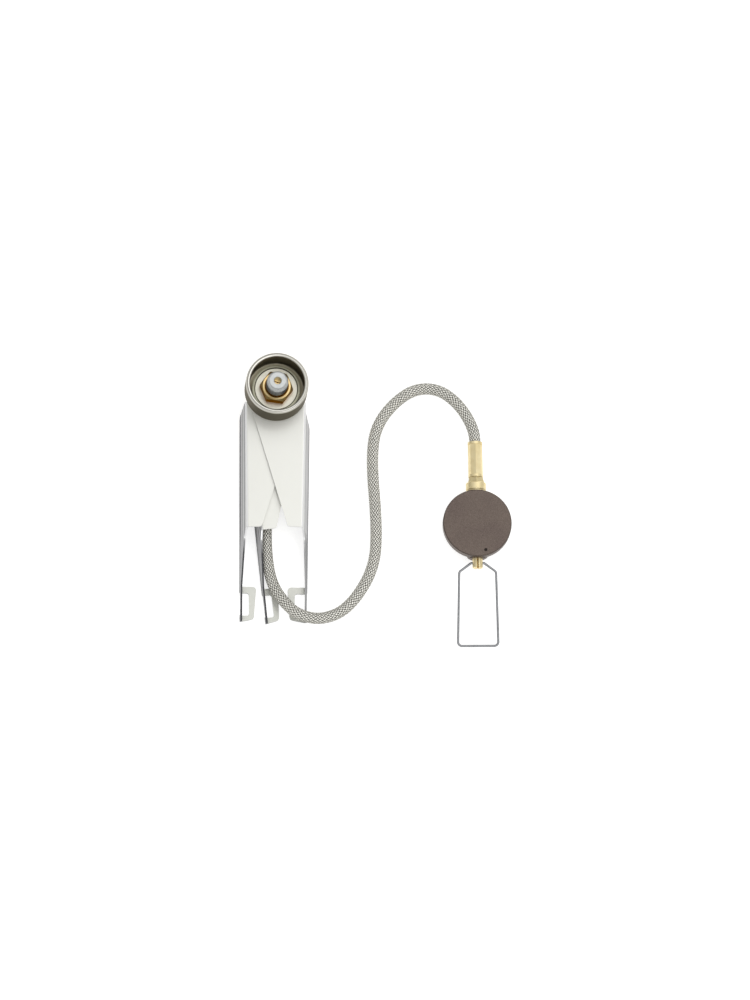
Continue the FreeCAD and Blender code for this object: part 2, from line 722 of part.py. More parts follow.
add_constraints(sk, [
    (Sketcher.Constraint("DistanceX", -1, 1, 0, 1, -30.0), None),
    (Sketcher.Constraint("DistanceX", -1, 1, 0, 2, 30.0), None),
    (Sketcher.Constraint("DistanceY", -1, 1, 0, 1, S.axis_height.value), S.axis_height),
    (Sketcher.Constraint("DistanceY", -1, 1, 0, 2, S.axis_height.value), S.axis_height),
])
outline(sk, [
    (-(S.boss_reach + 3.0), S.axis_height),
    (-(S.boss_reach + 3.0), S.axis_height + S.gland_port),
    (-S.gland_depth, S.axis_height + S.gland_port),
    (-S.gland_depth, S.axis_height + S.seat_pocket),
    (-S.seat_depth, S.axis_height + S.seat_pocket),
    (-S.seat_depth, S.axis_height + S.gas_bore),
    (1.0, S.axis_height + S.gas_bore),
    (1.0, S.axis_height),
])
item = valve.newObject("PartDesign::Groove", "gland_bore")
item.Profile = sk
item.ReferenceAxis = (sk, ["Axis0"])
item.Angle = 360.0
sk = sketch_on(valve, "XZ_Plane", -(S.boss_reach + 3.0))
circle(sk, 0.0, S.axis_height, S.hose_port)
pocket(valve, sk, S.boss_reach + 3.0 - S.port_floor, True)
sk = sketch_on(valve, "XZ_Plane", -(S.port_floor + 0.5))
circle(sk, 0.0, S.axis_height + 2.1, 0.6)
pocket(valve, sk, S.gland_depth + S.port_floor + 0.9, True)
sk = sketch_on(valve, "XY_Plane", S.valve_height + 1.0)
circle(sk, S.lock_across, -S.lock_along, S.lock_radius + S.fit_gap)
pocket(valve, sk, S.valve_height - 7.0)
place(valve, S.valve_x, S.valve_y, 0.0, S.valve_turn.value)
keep(valve)


def in_valve(item, z, about_x=0.0):
    place(item, S.valve_x, S.valve_y, z, S.valve_turn.value, about_x)
    return keep(item)


# Underside: seal ring and depressor pin
seal = doc.addObject("Part::Torus", "canister_seal")
seal.Label = "canister_seal"
bind(seal, "Radius1", S.relief_radius - 0.85)
bind(seal, "Radius2", S.relief_height * 0.5 - 0.15)
in_valve(seal, z_relief - S.relief_height * 0.5 + 0.1)
pin = new_body("depressor_pin")
turned(pin, [(0.4, z_thread + 0.3), (0.85, z_thread + 0.3), (1.2, z_thread + 0.9), (1.2, S.axis_height - 0.3),
             (0.4, S.axis_height - 0.3)])
in_valve(pin, 0.0)

# Spindle side: seat, bush, lock pin, needle, spindle and its seal ring, along their own Z
seat = new_body("valve_seat")
turned(seat, [
    (S.seat_hole, S.seat_depth),
    (S.seat_pocket - S.fit_gap, S.seat_depth),
    (S.seat_pocket - S.fit_gap, S.gland_depth),
    (S.seat_hole + 0.5, S.gland_depth),
    (S.seat_hole, S.gland_depth - 0.8),
])
in_valve(seat, S.axis_height, 90.0)
bush = new_body("gland_bush")
turned(bush, [
    (S.spindle_radius + S.turn_gap, S.bush_start),
    (S.gland_port - S.fit_gap, S.bush_start),
    (S.gland_port - S.fit_gap, S.lock_along - S.lock_radius - S.end_gap),
    (S.lock_across - S.lock_radius - S.end_gap, S.lock_along - S.lock_radius - S.end_gap),
    (S.lock_across - S.lock_radius - S.end_gap, S.lock_along + S.lock_radius + S.end_gap),
    (S.gland_port - S.fit_gap, S.lock_along + S.lock_radius + S.end_gap),
    (S.gland_port - S.fit_gap, S.boss_reach),
    (S.spindle_radius + S.turn_gap, S.boss_reach),
])
in_valve(bush, S.axis_height, 90.0)
lock = new_body("gland_lock_pin")
sk = sketch_on(lock, "XY_Plane", 8.0)
circle(sk, S.lock_across, -S.lock_along, S.lock_radius)
pad(lock, sk, S.valve_height - 8.4)
in_valve(lock, 0.0)
needle = new_body("valve_needle")
turned(needle, [
    (0.0, S.gland_depth - 0.9),
    (S.seat_hole - 0.12, S.gland_depth - 0.9),
    (S.seat_hole + 0.44, S.gland_depth),
    (S.needle_radius, S.gland_depth + 0.6),
    (S.needle_radius, S.bush_start + 1.8),
    (0.8, S.bush_start + 1.8),
    (0.8, S.bush_start + 4.5),
    (0.0, S.bush_start + 4.5),
])
in_valve(needle, S.axis_height, 90.0)
spindle = new_body("valve_spindle")
turned(spindle, [
    (0.85, S.bush_start + 1.9),
    (S.spindle_radius, S.bush_start + 1.9),
    (S.spindle_radius, S.bush_start + 2.7),
    (S.spindle_radius - 0.85, S.bush_start + 2.7),
    (S.spindle_radius - 0.85, S.bush_start + 3.9),
    (S.spindle_radius, S.bush_start + 3.9),
    (S.spindle_radius, S.spindle_end - 0.3),
    (S.spindle_radius - 0.3, S.spindle_end),
    (0.0, S.spindle_end),
    (0.0, S.bush_start + 4.7),
    (0.85, S.bush_start + 4.7),
])
sk = sketch_on(spindle, "XZ_Plane")
half_slot = S.spindle_slot / 2.0
outline(sk, [(-half_slot, S.bail_hinge - 2.7), (half_slot, S.bail_hinge - 2.7), (half_slot, S.spindle_end + 1.0),
             (-half_slot, S.spindle_end + 1.0)])
pocket(spindle, sk)
sk = sketch_on(spindle, "YZ_Plane")
circle(sk, 0.0, S.bail_hinge, S.wire_radius + S.turn_gap)
pocket(spindle, sk)
in_valve(spindle, S.axis_height, 90.0)
spindle_ring = doc.addObject("Part::Torus", "spindle_seal")
spindle_ring.Label = "spindle_seal"
bind(spindle_ring, "Radius1", S.spindle_radius - 0.42)
bind(spindle_ring, "Radius2", as_size(0.4))
along = S.bush_start + 3.3
tilt = math.radians(S.valve_turn.value)
place(spindle_ring, S.valve_x + along * math.sin(tilt), S.valve_y - along * math.cos(tilt), S.axis_height,
      S.valve_turn.value, 90.0)
keep(spindle_ring)

# Wire bail: bent wire whose two ends sit in the spindle's cross hole
bail = new_body("wire_bail")
route = sketch_on(bail, "XY_Plane")
half = S.bail_half
outline(route, [
    (0.6, 0.0),
    (3.4, 0.0, 1.2),
    (half - S.bail_taper, -S.bail_shoulder, 2.0),
    (half, -S.bail_length, 2.0),
    (-half, -S.bail_length, 2.0),
    (S.bail_taper - half, -S.bail_shoulder, 2.0),
    (-3.4, 0.0, 1.2),
    (-0.6, 0.0),
], False)
sk = sketch_on(bail, "YZ_Plane", 0.6)
circle(sk, 0.0, 0.0, S.wire_radius)
pipe = bail.newObject("PartDesign::AdditivePipe", "bail_pipe")
pipe.Profile = sk
pipe.Spine = route
droop = math.degrees(math.asin((S.axis_height.value - S.wire_radius.value - 0.05) / S.bail_length.value))
place(bail, S.valve_x + S.bail_hinge * math.sin(tilt), S.valve_y - S.bail_hinge * math.cos(tilt), S.axis_height,
      S.valve_turn.value, droop)
keep(bail)

# Hose side of the valve: washer, adapter with its barbed tail, ferrule
adapter_face = S.boss_reach + S.adapter_washer_height
flange_end = adapter_face + S.adapter_flange
neck_end = flange_end + S.adapter_neck
in_valve(ring("adapter_washer", S.hose_port, S.adapter_radius - 0.4, S.boss_reach, adapter_face),
         S.axis_height, -90.0)
adapter = new_body("valve_hose_adapter")
spigot_end = adapter_face - S.spigot_length
shape = [(S.gas_bore, spigot_end), (S.hose_port - S.fit_gap, spigot_end)]
shape += [(S.hose_port - S.fit_gap, adapter_face), (S.adapter_radius - 0.4, adapter_face)]
shape += [(S.adapter_radius, adapter_face + 0.4), (S.adapter_radius, flange_end - 0.4)]
shape += [(S.adapter_radius - 0.4, flange_end), (S.adapter_flats * 0.45, flange_end)]
shape += [(S.adapter_flats * 0.45, neck_end), (S.tail_radius, neck_end)]
shape = tail(shape, neck_end, S.adapter_tail)
shape += [(S.gas_bore, neck_end + S.adapter_tail)]
turned(adapter, shape)
sk = sketch_on(adapter, "XY_Plane", neck_end)
outline(sk, regular(6, S.adapter_flats / 2.0, math.pi / 6.0))
neck = pad(adapter, sk, S.adapter_neck + 0.2, True)
bind(neck, "TaperAngle", S.neck_flare)
turned(adapter, [(0.0, flange_end - 1.0), (S.gas_bore, flange_end - 1.0), (S.gas_bore, neck_end + 1.0),
                 (0.0, neck_end + 1.0)], True)
in_valve(adapter, S.axis_height, -90.0)
in_valve(ferrule("valve_hose_ferrule", neck_end + S.end_gap, S.valve_ferrule), S.axis_height, -90.0)

# Hose route: straight out of the base ferrule, over the feet, along the table, round into the valve ferrule
heading = math.radians(S.port_turn.value)
hose_start = hex_end.value + 0.7
hose_end = neck_end.value + 0.7


def from_base(along):
    return V(along * math.sin(heading), -along * math.cos(heading), S.port_height.value)


def from_valve(along):
    return V(S.valve_x.value - along * math.sin(tilt), S.valve_y.value + along * math.cos(tilt),
             S.axis_height.value)


ROUTE = [
    from_base(hose_start),
    from_base(hose_start + 26.8),
    V(-4.25, -67.0, 5.8),
    V(-3.9, -82.0, 4.6),
    V(-1.8, -96.5, 5.0),
    V(3.6, -107.0, 7.6),
    V(11.8, -115.2, 8.6),
    V(24.5, -117.6, 8.2),
    V(38.4, -110.3, 4.6),
    V(51.1, -89.5, 3.15),
    V(53.0, -67.5, 3.1),
    V(49.9, -30.3, 3.1),
    V(52.9, -11.4, 3.2),
    V(68.0, 4.8, 4.0),
    V(82.7, 6.2, 5.6),
    V(94.3, -2.6, 7.2),
    from_valve(hose_end + 24.5),
    from_valve(hose_end + 12.3),
    from_valve(hose_end),
]
edges = []
at = ROUTE[0]
length = 0.0
for i in range(1, len(ROUTE) - 1):
    back = ROUTE[i - 1] - ROUTE[i]
    ahead = ROUTE[i + 1] - ROUTE[i]
    shorter = min(back.Length, ahead.Length)
    back.normalize()
    ahead.normalize()
    turn = math.pi - math.acos(max(-1.0, min(1.0, back.dot(ahead))))
    # A point on a straight run has no bend
    if turn < 0.002:
        continue
    trim = 0.45 * shorter
    radius = trim / math.tan(turn / 2.0)
    into = ROUTE[i] + back * trim
    out = ROUTE[i] + ahead * trim
    mid = back + ahead
    mid.normalize()
    top = ROUTE[i] + mid * (radius / math.cos(turn / 2.0) - radius)
    edges.append(Part.LineSegment(at, into).toShape())
    edges.append(Part.Arc(into, top, out).toShape())
    at = out
    print("hose bend %d: turn %.1f deg, radius %.1f mm" % (i, math.degrees(turn), radius))
edges.append(Part.LineSegment(at, ROUTE[-1]).toShape())
path = doc.addObject("Part::Feature", "hose_path")
path.Shape = Part.Wire(edges)
print("hose length %.1f mm" % path.Shape.Length)


def hose_sweep(name, radius):
    section = doc.addObject("Part::Circle", name + "_section")
    section.Radius = radius.value
    bind(section, "Radius", radius)
    first = ROUTE[1] - ROUTE[0]
    section.Placement = FreeCAD.Placement(ROUTE[0], FreeCAD.Rotation(V(0, 0, 1), first))
    sweep = doc.addObject("Part::Sweep", name)
    sweep.Sections = [section]
    sweep.Spine = (path, ["Edge%d" % (k + 1) for k in range(len(edges))])
    sweep.Solid = True
    sweep.Frenet = False
    sweep.Transition = "Right corner"
    return sweep


hose = doc.addObject("Part::Cut", "braided_hose")
hose.Label = "braided_hose"
hose.Base = hose_sweep("hose_outside", S.hose_radius)
hose.Tool = hose_sweep("hose_inside", S.hose_bore)
keep(hose)

doc.recompute()
section_area = math.pi * (S.hose_radius.value ** 2 - S.hose_bore.value ** 2)
print("hose volume %.0f, section by length %.0f" % (hose.Shape.Volume, section_area * path.Shape.Length))

# Every feature is checked, then each piece is written
for item in doc.Objects:
    if "Invalid" in item.State or "Error" in item.State:
        raise RuntimeError("%s did not build" % item.Label)
os.makedirs("parts", exist_ok=True)
for item in NODES:
    shape = item.Shape
    if shape.isNull() or not shape.isValid() or len(shape.Solids) != 1:
        raise RuntimeError("%s is not one valid solid" % item.Label)
    shape.exportStep("parts/%s.step" % item.Label)
print("%d pieces written" % len(NODES))
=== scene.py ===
import bmesh
import bpy
import math
from mathutils import Matrix, Vector


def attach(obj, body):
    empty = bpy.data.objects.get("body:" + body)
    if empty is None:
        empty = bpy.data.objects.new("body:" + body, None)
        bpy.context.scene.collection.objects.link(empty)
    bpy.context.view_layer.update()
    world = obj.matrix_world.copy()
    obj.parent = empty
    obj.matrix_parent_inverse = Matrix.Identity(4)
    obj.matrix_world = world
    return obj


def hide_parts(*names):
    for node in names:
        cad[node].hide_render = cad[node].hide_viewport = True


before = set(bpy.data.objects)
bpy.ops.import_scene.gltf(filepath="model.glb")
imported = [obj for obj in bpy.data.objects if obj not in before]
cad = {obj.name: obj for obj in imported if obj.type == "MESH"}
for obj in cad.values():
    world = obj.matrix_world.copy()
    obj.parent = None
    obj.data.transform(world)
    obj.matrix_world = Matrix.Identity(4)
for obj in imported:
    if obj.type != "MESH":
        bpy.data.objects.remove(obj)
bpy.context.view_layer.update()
scene = bpy.context.scene
scene.view_settings.view_transform = "Standard"


# Table, light and camera: the stand lies on a sheet of matt white paper under two wide soft lamps on the right.
# The paper shows as plain white and takes the pieces' soft shadows.
# A long lens looks down on it, a little from the front and from the left.
def linear(code):
    parts = [int(code[k:k + 2], 16) / 255 for k in (1, 3, 5)]
    return [c / 12.92 if c <= 0.04045 else ((c + 0.055) / 1.055) ** 2.4 for c in parts] + [1.0]


def add(tree, kind, links=None, **settings):
    made = tree.nodes.new(kind)
    for name, value in settings.items():
        setattr(made, name, value)
    for name, value in (links or {}).items():
        if isinstance(value, bpy.types.NodeSocket):
            tree.links.new(value, made.inputs[name])
        else:
            made.inputs[name].default_value = value
    return made


def new_finish(name):
    finish = bpy.data.materials.new(name)
    finish.use_nodes = True
    finish.node_tree.nodes.clear()
    return finish, finish.node_tree


TABLE_HALF = 4.0
TABLE_DROP = -0.0002
TABLE_GLOW = 0.66
white_table, t = new_finish("white_paper_table")
ray = add(t, "ShaderNodeLightPath")
seen = add(t, "ShaderNodeMath", {0: ray.outputs["Is Camera Ray"], 1: ray.outputs["Is Glossy Ray"]},
           operation="MAXIMUM")
seen = add(t, "ShaderNodeMath", {0: seen.outputs[0], 1: ray.outputs["Is Transmission Ray"]}, operation="MAXIMUM")
glow = add(t, "ShaderNodeMath", {0: seen.outputs[0], 1: TABLE_GLOW}, operation="MULTIPLY")
paper = add(t, "ShaderNodeBsdfPrincipled", {"Base Color": linear("#DCDCDB"), "Roughness": 0.8,
                                            "Specular IOR Level": 0.1, "Emission Color": linear("#FFFFFF"),
                                            "Emission Strength": glow.outputs[0]})
add(t, "ShaderNodeOutputMaterial", {"Surface": paper.outputs[0]})
table_mesh = bpy.data.meshes.new("table")
table_mesh.from_pydata([(-TABLE_HALF, -TABLE_HALF, 0), (TABLE_HALF, -TABLE_HALF, 0),
                        (TABLE_HALF, TABLE_HALF, 0), (-TABLE_HALF, TABLE_HALF, 0)], [], [(0, 1, 2, 3)])
table = bpy.data.objects.new("table", table_mesh)
table.location.z = TABLE_DROP
table_mesh.materials.append(white_table)
scene.collection.objects.link(table)

# Sky: a grey horizon that turns white overhead, so that upright metal is darker than level metal
WHITE_FROM = 0.75
DOME_STRENGTH = 0.80
world = bpy.data.worlds.new("studio")
scene.world = world
world.use_nodes = True
t = world.node_tree
t.nodes.clear()
where = add(t, "ShaderNodeTexCoord")
height = add(t, "ShaderNodeSeparateXYZ", {0: where.outputs["Generated"]})
sky = add(t, "ShaderNodeValToRGB", {0: height.outputs["Z"]})
sky.color_ramp.elements[0].position = 0.0
sky.color_ramp.elements[0].color = linear("#8C8C8C")
sky.color_ramp.elements[1].position = WHITE_FROM
sky.color_ramp.elements[1].color = linear("#FFFFFF")
dome = add(t, "ShaderNodeBackground", {"Color": sky.outputs[0], "Strength": DOME_STRENGTH})
add(t, "ShaderNodeOutputWorld", {"Surface": dome.outputs[0]})

LAMP_SIZE = 1.2
LAMPS_AIM = Vector((0.05, -0.05, 0.0))
SOFT_BOXES = (("front_soft_box", 3.2, (0.50, -0.60, 1.10)), ("back_soft_box", 2.8, (0.55, 0.40, 1.15)))
for label, watts, spot in SOFT_BOXES:
    lamp_data = bpy.data.lights.new(label, "AREA")
    lamp_data.shape = "DISK"
    lamp_data.size = LAMP_SIZE
    lamp_data.energy = watts
    lamp = bpy.data.objects.new(label, lamp_data)
    lamp.location = spot
    lamp.rotation_euler = (LAMPS_AIM - lamp.location).to_track_quat("-Z", "Y").to_euler()
    scene.collection.objects.link(lamp)

SENSOR = 36.0
EYE_DISTANCE = 6.0
FRAME_HEIGHT = 0.510
eye_data = bpy.data.cameras.new("long_lens")
eye_data.sensor_width = SENSOR
eye_data.lens = SENSOR * EYE_DISTANCE / FRAME_HEIGHT
eye_data.clip_start = 0.05
eye_data.clip_end = 20.0
eye = bpy.data.objects.new("long_lens", eye_data)
back = Vector((-0.058, -0.250, 0.968)).normalized()
up = (Vector((0.0, 1.0, 0.0)) - back.y * back).normalized()
right = up.cross(back)
look_at = Vector((0.0517, -0.0521, 0.0))
eye_turn = Matrix((right, up, back)).transposed().to_4x4()
eye.matrix_world = Matrix.Translation(look_at + EYE_DISTANCE * back) @ eye_turn
scene.collection.objects.link(eye)
scene.camera = eye


# Gas hose: a rubber tube under a braid of thin steel wires, crimped into a brass ferrule at each end.
# It leaves the block under the legs, lies over the feet, runs along the table and comes round to the valve.
# The route is in millimetres.
CORE_RADIUS = 0.00256
HOSE_ROUTE = [
    (-0.8750, -15.1748, 6.5), (-2.4177, -41.9303, 6.5), (-4.25, -67.0, 5.8), (-3.9, -82.0, 4.6),
    (-1.8, -96.5, 5.0), (3.6, -107.0, 7.6), (11.8, -115.2, 8.6), (24.5, -117.6, 8.2), (38.4, -110.3, 4.6),
    (51.1, -89.5, 3.15), (52.6, -67.5, 3.1), (49.5, -30.3, 3.1), (52.7, -11.4, 3.2), (68.0, 4.8, 4.0),
    (82.7, 6.2, 5.6), (94.3, -2.6, 7.2), (102.1363, -16.6093, 8.4), (102.3705, -28.8070, 8.4),
    (102.6066, -41.1047, 8.4),
]
hose_line = bpy.data.curves.new("hose_tube", "CURVE")
hose_line.dimensions = "3D"
run = hose_line.splines.new("NURBS")
run.points.add(len(HOSE_ROUTE) - 1)
for point, place in zip(run.points, HOSE_ROUTE):
    point.co = (place[0] / 1000, place[1] / 1000, place[2] / 1000, 1.0)
run.order_u = 3
run.use_endpoint_u = True
run.resolution_u = 24
hose_tube = bpy.data.objects.new("hose_tube", hose_line)
scene.collection.objects.link(hose_tube)

# Braid: carriers of fine steel wires wound both ways round the tube, each over one and under the next.
# Its ends are held in the crimped ferrules.
braid_tree = bpy.data.node_groups.new("wire_braid", "GeometryNodeTree")
for name, kind in (("Hose", "NodeSocketObject"), ("Carriers", "NodeSocketInt"), ("Radius", "NodeSocketFloat"),
                   ("Lay", "NodeSocketFloat"), ("Step", "NodeSocketFloat"), ("Width", "NodeSocketFloat"),
                   ("Thickness", "NodeSocketFloat"), ("Finish", "NodeSocketMaterial")):
    braid_tree.interface.new_socket(name=name, in_out="INPUT", socket_type=kind)
braid_tree.interface.new_socket(name="Braid", in_out="OUTPUT", socket_type="NodeSocketGeometry")
t = braid_tree
given = add(t, "NodeGroupInput").outputs
hose_in = add(t, "GeometryNodeObjectInfo", {"Object": given["Hose"]}, transform_space="RELATIVE")
even = add(t, "GeometryNodeResampleCurve", {"Curve": hose_in.outputs["Geometry"], "Length": given["Step"]},
           mode="LENGTH")
kept = add(t, "GeometryNodeCaptureAttribute", {"Geometry": even.outputs[0]}, domain="POINT")
for name, kind, value in (("side", "VECTOR", add(t, "GeometryNodeInputNormal").outputs[0]),
                          ("ahead", "VECTOR", add(t, "GeometryNodeInputTangent").outputs[0]),
                          ("along", "FLOAT", add(t, "GeometryNodeSplineParameter").outputs["Length"])):
    kept.capture_items.new(kind, name)
    t.links.new(value, kept.inputs[name])
side, ahead, along = (kept.outputs[name] for name in ("side", "ahead", "along"))
doubled = add(t, "ShaderNodeMath", {0: given["Carriers"], 1: 2.0}, operation="MULTIPLY")
copies = add(t, "GeometryNodeDuplicateElements", {"Geometry": kept.outputs["Geometry"],
                                                  "Amount": doubled.outputs[0]}, domain="SPLINE")
which = copies.outputs["Duplicate Index"]
# Even copies are wound to the left, odd ones to the right, and each pair starts one carrier further round
odd = add(t, "ShaderNodeMath", {0: which, 1: 2.0}, operation="MODULO")
hand = add(t, "ShaderNodeMath", {0: odd.outputs[0], 1: 2.0, 2: -1.0}, operation="MULTIPLY_ADD")
pair = add(t, "ShaderNodeMath", {0: which, 1: 0.5}, operation="MULTIPLY")
pair = add(t, "ShaderNodeMath", {0: pair.outputs[0]}, operation="FLOOR")
start = add(t, "ShaderNodeMath", {0: pair.outputs[0], 1: given["Carriers"]}, operation="DIVIDE")
turns = add(t, "ShaderNodeMath", {0: along, 1: given["Lay"]}, operation="DIVIDE")
turned = add(t, "ShaderNodeMath", {0: turns.outputs[0], 1: hand.outputs[0], 2: start.outputs[0]},
             operation="MULTIPLY_ADD")
angle = add(t, "ShaderNodeMath", {0: turned.outputs[0], 1: 2 * math.pi}, operation="MULTIPLY")
cross = add(t, "ShaderNodeVectorMath", {0: ahead, 1: side}, operation="CROSS_PRODUCT")
cosine = add(t, "ShaderNodeMath", {0: angle.outputs[0]}, operation="COSINE")
sine = add(t, "ShaderNodeMath", {0: angle.outputs[0]}, operation="SINE")
part_a = add(t, "ShaderNodeVectorMath", {0: side, "Scale": cosine.outputs[0]}, operation="SCALE")
part_b = add(t, "ShaderNodeVectorMath", {0: cross.outputs[0], "Scale": sine.outputs[0]}, operation="SCALE")
outward = add(t, "ShaderNodeVectorMath", {0: part_a.outputs[0], 1: part_b.outputs[0]}, operation="ADD")
# A carrier rises over every second one that it meets, and the two hands rise in turn
passes = add(t, "ShaderNodeMath", {0: turns.outputs[0], 1: given["Carriers"]}, operation="MULTIPLY")
weave = add(t, "ShaderNodeMath", {0: passes.outputs[0], 1: 2 * math.pi}, operation="MULTIPLY")
weave = add(t, "ShaderNodeMath", {0: weave.outputs[0]}, operation="COSINE")
weave = add(t, "ShaderNodeMath", {0: weave.outputs[0], 1: hand.outputs[0]}, operation="MULTIPLY")
lift = add(t, "ShaderNodeMath", {0: given["Thickness"], 1: 0.5}, operation="MULTIPLY")
rise = add(t, "ShaderNodeMath", {0: weave.outputs[0], 1: lift.outputs[0], 2: given["Radius"]},
           operation="MULTIPLY_ADD")
shift = add(t, "ShaderNodeVectorMath", {0: outward.outputs[0], "Scale": rise.outputs[0]}, operation="SCALE")
wound = add(t, "GeometryNodeSetPosition", {"Geometry": copies.outputs["Geometry"], "Offset": shift.outputs[0]})
flat = add(t, "GeometryNodeSetCurveNormal", {"Curve": wound.outputs[0], "Normal": outward.outputs[0]}, mode="FREE")
flat = add(t, "GeometryNodeStoreNamedAttribute", {"Geometry": flat.outputs[0], "Name": "crown",
                                                  "Value": weave.outputs[0]}, data_type="FLOAT", domain="POINT")
# A carrier's section is a flat kite, and it remembers how far across the carrier each point lies
half = add(t, "ShaderNodeMath", {0: given["Width"], 1: 0.5}, operation="MULTIPLY")
band = add(t, "GeometryNodeCurvePrimitiveQuadrilateral", {"Width": given["Thickness"],
                                                          "Bottom Height": half.outputs[0],
                                                          "Top Height": half.outputs[0]}, mode="KITE")
spot = add(t, "GeometryNodeInputPosition")
spot = add(t, "ShaderNodeSeparateXYZ", {0: spot.outputs[0]})
spot = add(t, "ShaderNodeMath", {0: spot.outputs["Y"], 1: given["Width"]}, operation="DIVIDE")
band = add(t, "GeometryNodeStoreNamedAttribute", {"Geometry": band.outputs[0], "Name": "across",
                                                  "Value": spot.outputs[0]}, data_type="FLOAT", domain="POINT")
ribbon = add(t, "GeometryNodeCurveToMesh", {"Curve": flat.outputs[0], "Profile Curve": band.outputs[0],
                                            "Fill Caps": True})
smooth = add(t, "GeometryNodeSetShadeSmooth", {"Geometry": ribbon.outputs[0]})
solid = add(t, "GeometryNodeRealizeInstances", {"Geometry": smooth.outputs[0]})
coated = add(t, "GeometryNodeSetMaterial", {"Geometry": solid.outputs[0], "Material": given["Finish"]})
add(t, "NodeGroupOutput", {"Braid": coated.outputs[0]})

# Drawn stainless wire with painted light: a painted highlight where a carrier comes to the top, painted shade where
# it dives and along its edges.
# The hose's flanks carry painted shade and are darker than its back, and the wires in a carrier show as fine grooves
# with painted shade between them.
WIRES_IN_CARRIER = 5
braid_wire, t = new_finish("drawn_stainless_wire_braid")
across = add(t, "ShaderNodeAttribute", attribute_name="across")
crown = add(t, "ShaderNodeAttribute", attribute_name="crown")
wires = add(t, "ShaderNodeMath", {0: across.outputs["Fac"], 1: 2 * math.pi * WIRES_IN_CARRIER},
            operation="MULTIPLY")
wires = add(t, "ShaderNodeMath", {0: wires.outputs[0]}, operation="COSINE")
wires = add(t, "ShaderNodeMapRange", {"Value": wires.outputs[0], "From Min": -1.0, "From Max": 1.0})
# Painted highlight where a carrier comes to the top, painted shade where it dives and along its edges
high = add(t, "ShaderNodeMapRange", {"Value": crown.outputs["Fac"], "From Min": -0.75, "From Max": 0.30})
edge = add(t, "ShaderNodeMath", {0: across.outputs["Fac"]}, operation="ABSOLUTE")
edge = add(t, "ShaderNodeMapRange", {"Value": edge.outputs[0], "From Min": 0.5, "From Max": 0.26})
painted_highlight_share = add(t, "ShaderNodeMath", {0: high.outputs[0], 1: edge.outputs[0]}, operation="MULTIPLY")
painted_carrier_light = add(t, "ShaderNodeMix", {"Factor": painted_highlight_share.outputs[0], "A": linear("#6C6A63"), "B": linear("#FFFDF4")},
            data_type="RGBA")
# Painted shade in the grooves between the wires, and on the hose's flanks, which face sideways
painted_groove_and_flank_shade = add(t, "ShaderNodeMapRange", {"Value": wires.outputs[0], "To Min": 0.82, "To Max": 1.0})
facing = add(t, "ShaderNodeSeparateXYZ", {0: add(t, "ShaderNodeNewGeometry").outputs["Normal"]})
painted_flank_shade = add(t, "ShaderNodeMapRange", {"Value": facing.outputs["Z"], "From Min": 0.15, "From Max": 0.80,
                                      "To Min": 0.62, "To Max": 1.04})
painted_groove_and_flank_shade = add(t, "ShaderNodeMath", {0: painted_groove_and_flank_shade.outputs[0], 1: painted_flank_shade.outputs[0]}, operation="MULTIPLY")
tint = add(t, "ShaderNodeVectorMath", {0: painted_carrier_light.outputs["Result"], "Scale": painted_groove_and_flank_shade.outputs[0]}, operation="SCALE")
rough = add(t, "ShaderNodeMapRange", {"Value": wires.outputs[0], "To Min": 0.46, "To Max": 0.30})
dents = add(t, "ShaderNodeBump", {"Height": wires.outputs[0], "Strength": 0.5, "Distance": 0.00008})
skin = add(t, "ShaderNodeBsdfPrincipled", {"Base Color": tint.outputs[0], "Metallic": 1.0,
                                           "Specular Tint": linear("#8E8C86"),
                                           "Roughness": rough.outputs[0], "Normal": dents.outputs[0]})
add(t, "ShaderNodeOutputMaterial", {"Surface": skin.outputs[0]})


def grow(tree, sizes):
    holder = bpy.data.objects.new("holder", bpy.data.meshes.new("holder"))
    scene.collection.objects.link(holder)
    maker = holder.modifiers.new("maker", "NODES")
    maker.node_group = tree
    for item in tree.interface.items_tree:
        if item.in_out == "INPUT":
            maker[item.identifier] = sizes[item.name]
    ready = holder.evaluated_get(bpy.context.evaluated_depsgraph_get())
    mesh = bpy.data.meshes.new_from_object(ready)
    bpy.data.objects.remove(holder)
    return mesh


braid_sizes = {"Hose": hose_tube, "Carriers": 12, "Radius": 0.00268, "Lay": 0.0255, "Step": 0.00039,
               "Width": 0.00116, "Thickness": 0.0003, "Finish": braid_wire}
wire_braid = bpy.data.objects.new("wire_braid", grow(braid_tree, braid_sizes))
scene.collection.objects.link(wire_braid)

# Extruded nitrile tube: matt black greyed by the wires that rub on it, seen only as the dark between them.
# The dust lies in patches of about 1 mm.
hose_rubber, t = new_finish("black_nitrile_under_braid")
where = add(t, "ShaderNodeTexCoord")
dust = add(t, "ShaderNodeTexNoise", {"Vector": where.outputs["Object"], "Scale": 900.0})
tone = add(t, "ShaderNodeMix", {"Factor": dust.outputs["Fac"], "A": linear("#4A4844"), "B": linear("#63605A")},
           data_type="RGBA")
skin = add(t, "ShaderNodeBsdfPrincipled", {"Base Color": tone.outputs["Result"], "Roughness": 0.6, "Metallic": 0.5})
add(t, "ShaderNodeOutputMaterial", {"Surface": skin.outputs[0]})
hose_line.bevel_depth = CORE_RADIUS
hose_line.bevel_resolution = 6
hose_line.use_fill_caps = True
hose_line.materials.append(hose_rubber)
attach(hose_tube, "base")
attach(wire_braid, "base")
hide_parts("braided_hose")


def coat(finish, *names):
    for name in names:
        cad[name].data.materials.clear()
        cad[name].data.materials.append(finish)


coat(braid_wire, "braided_hose")


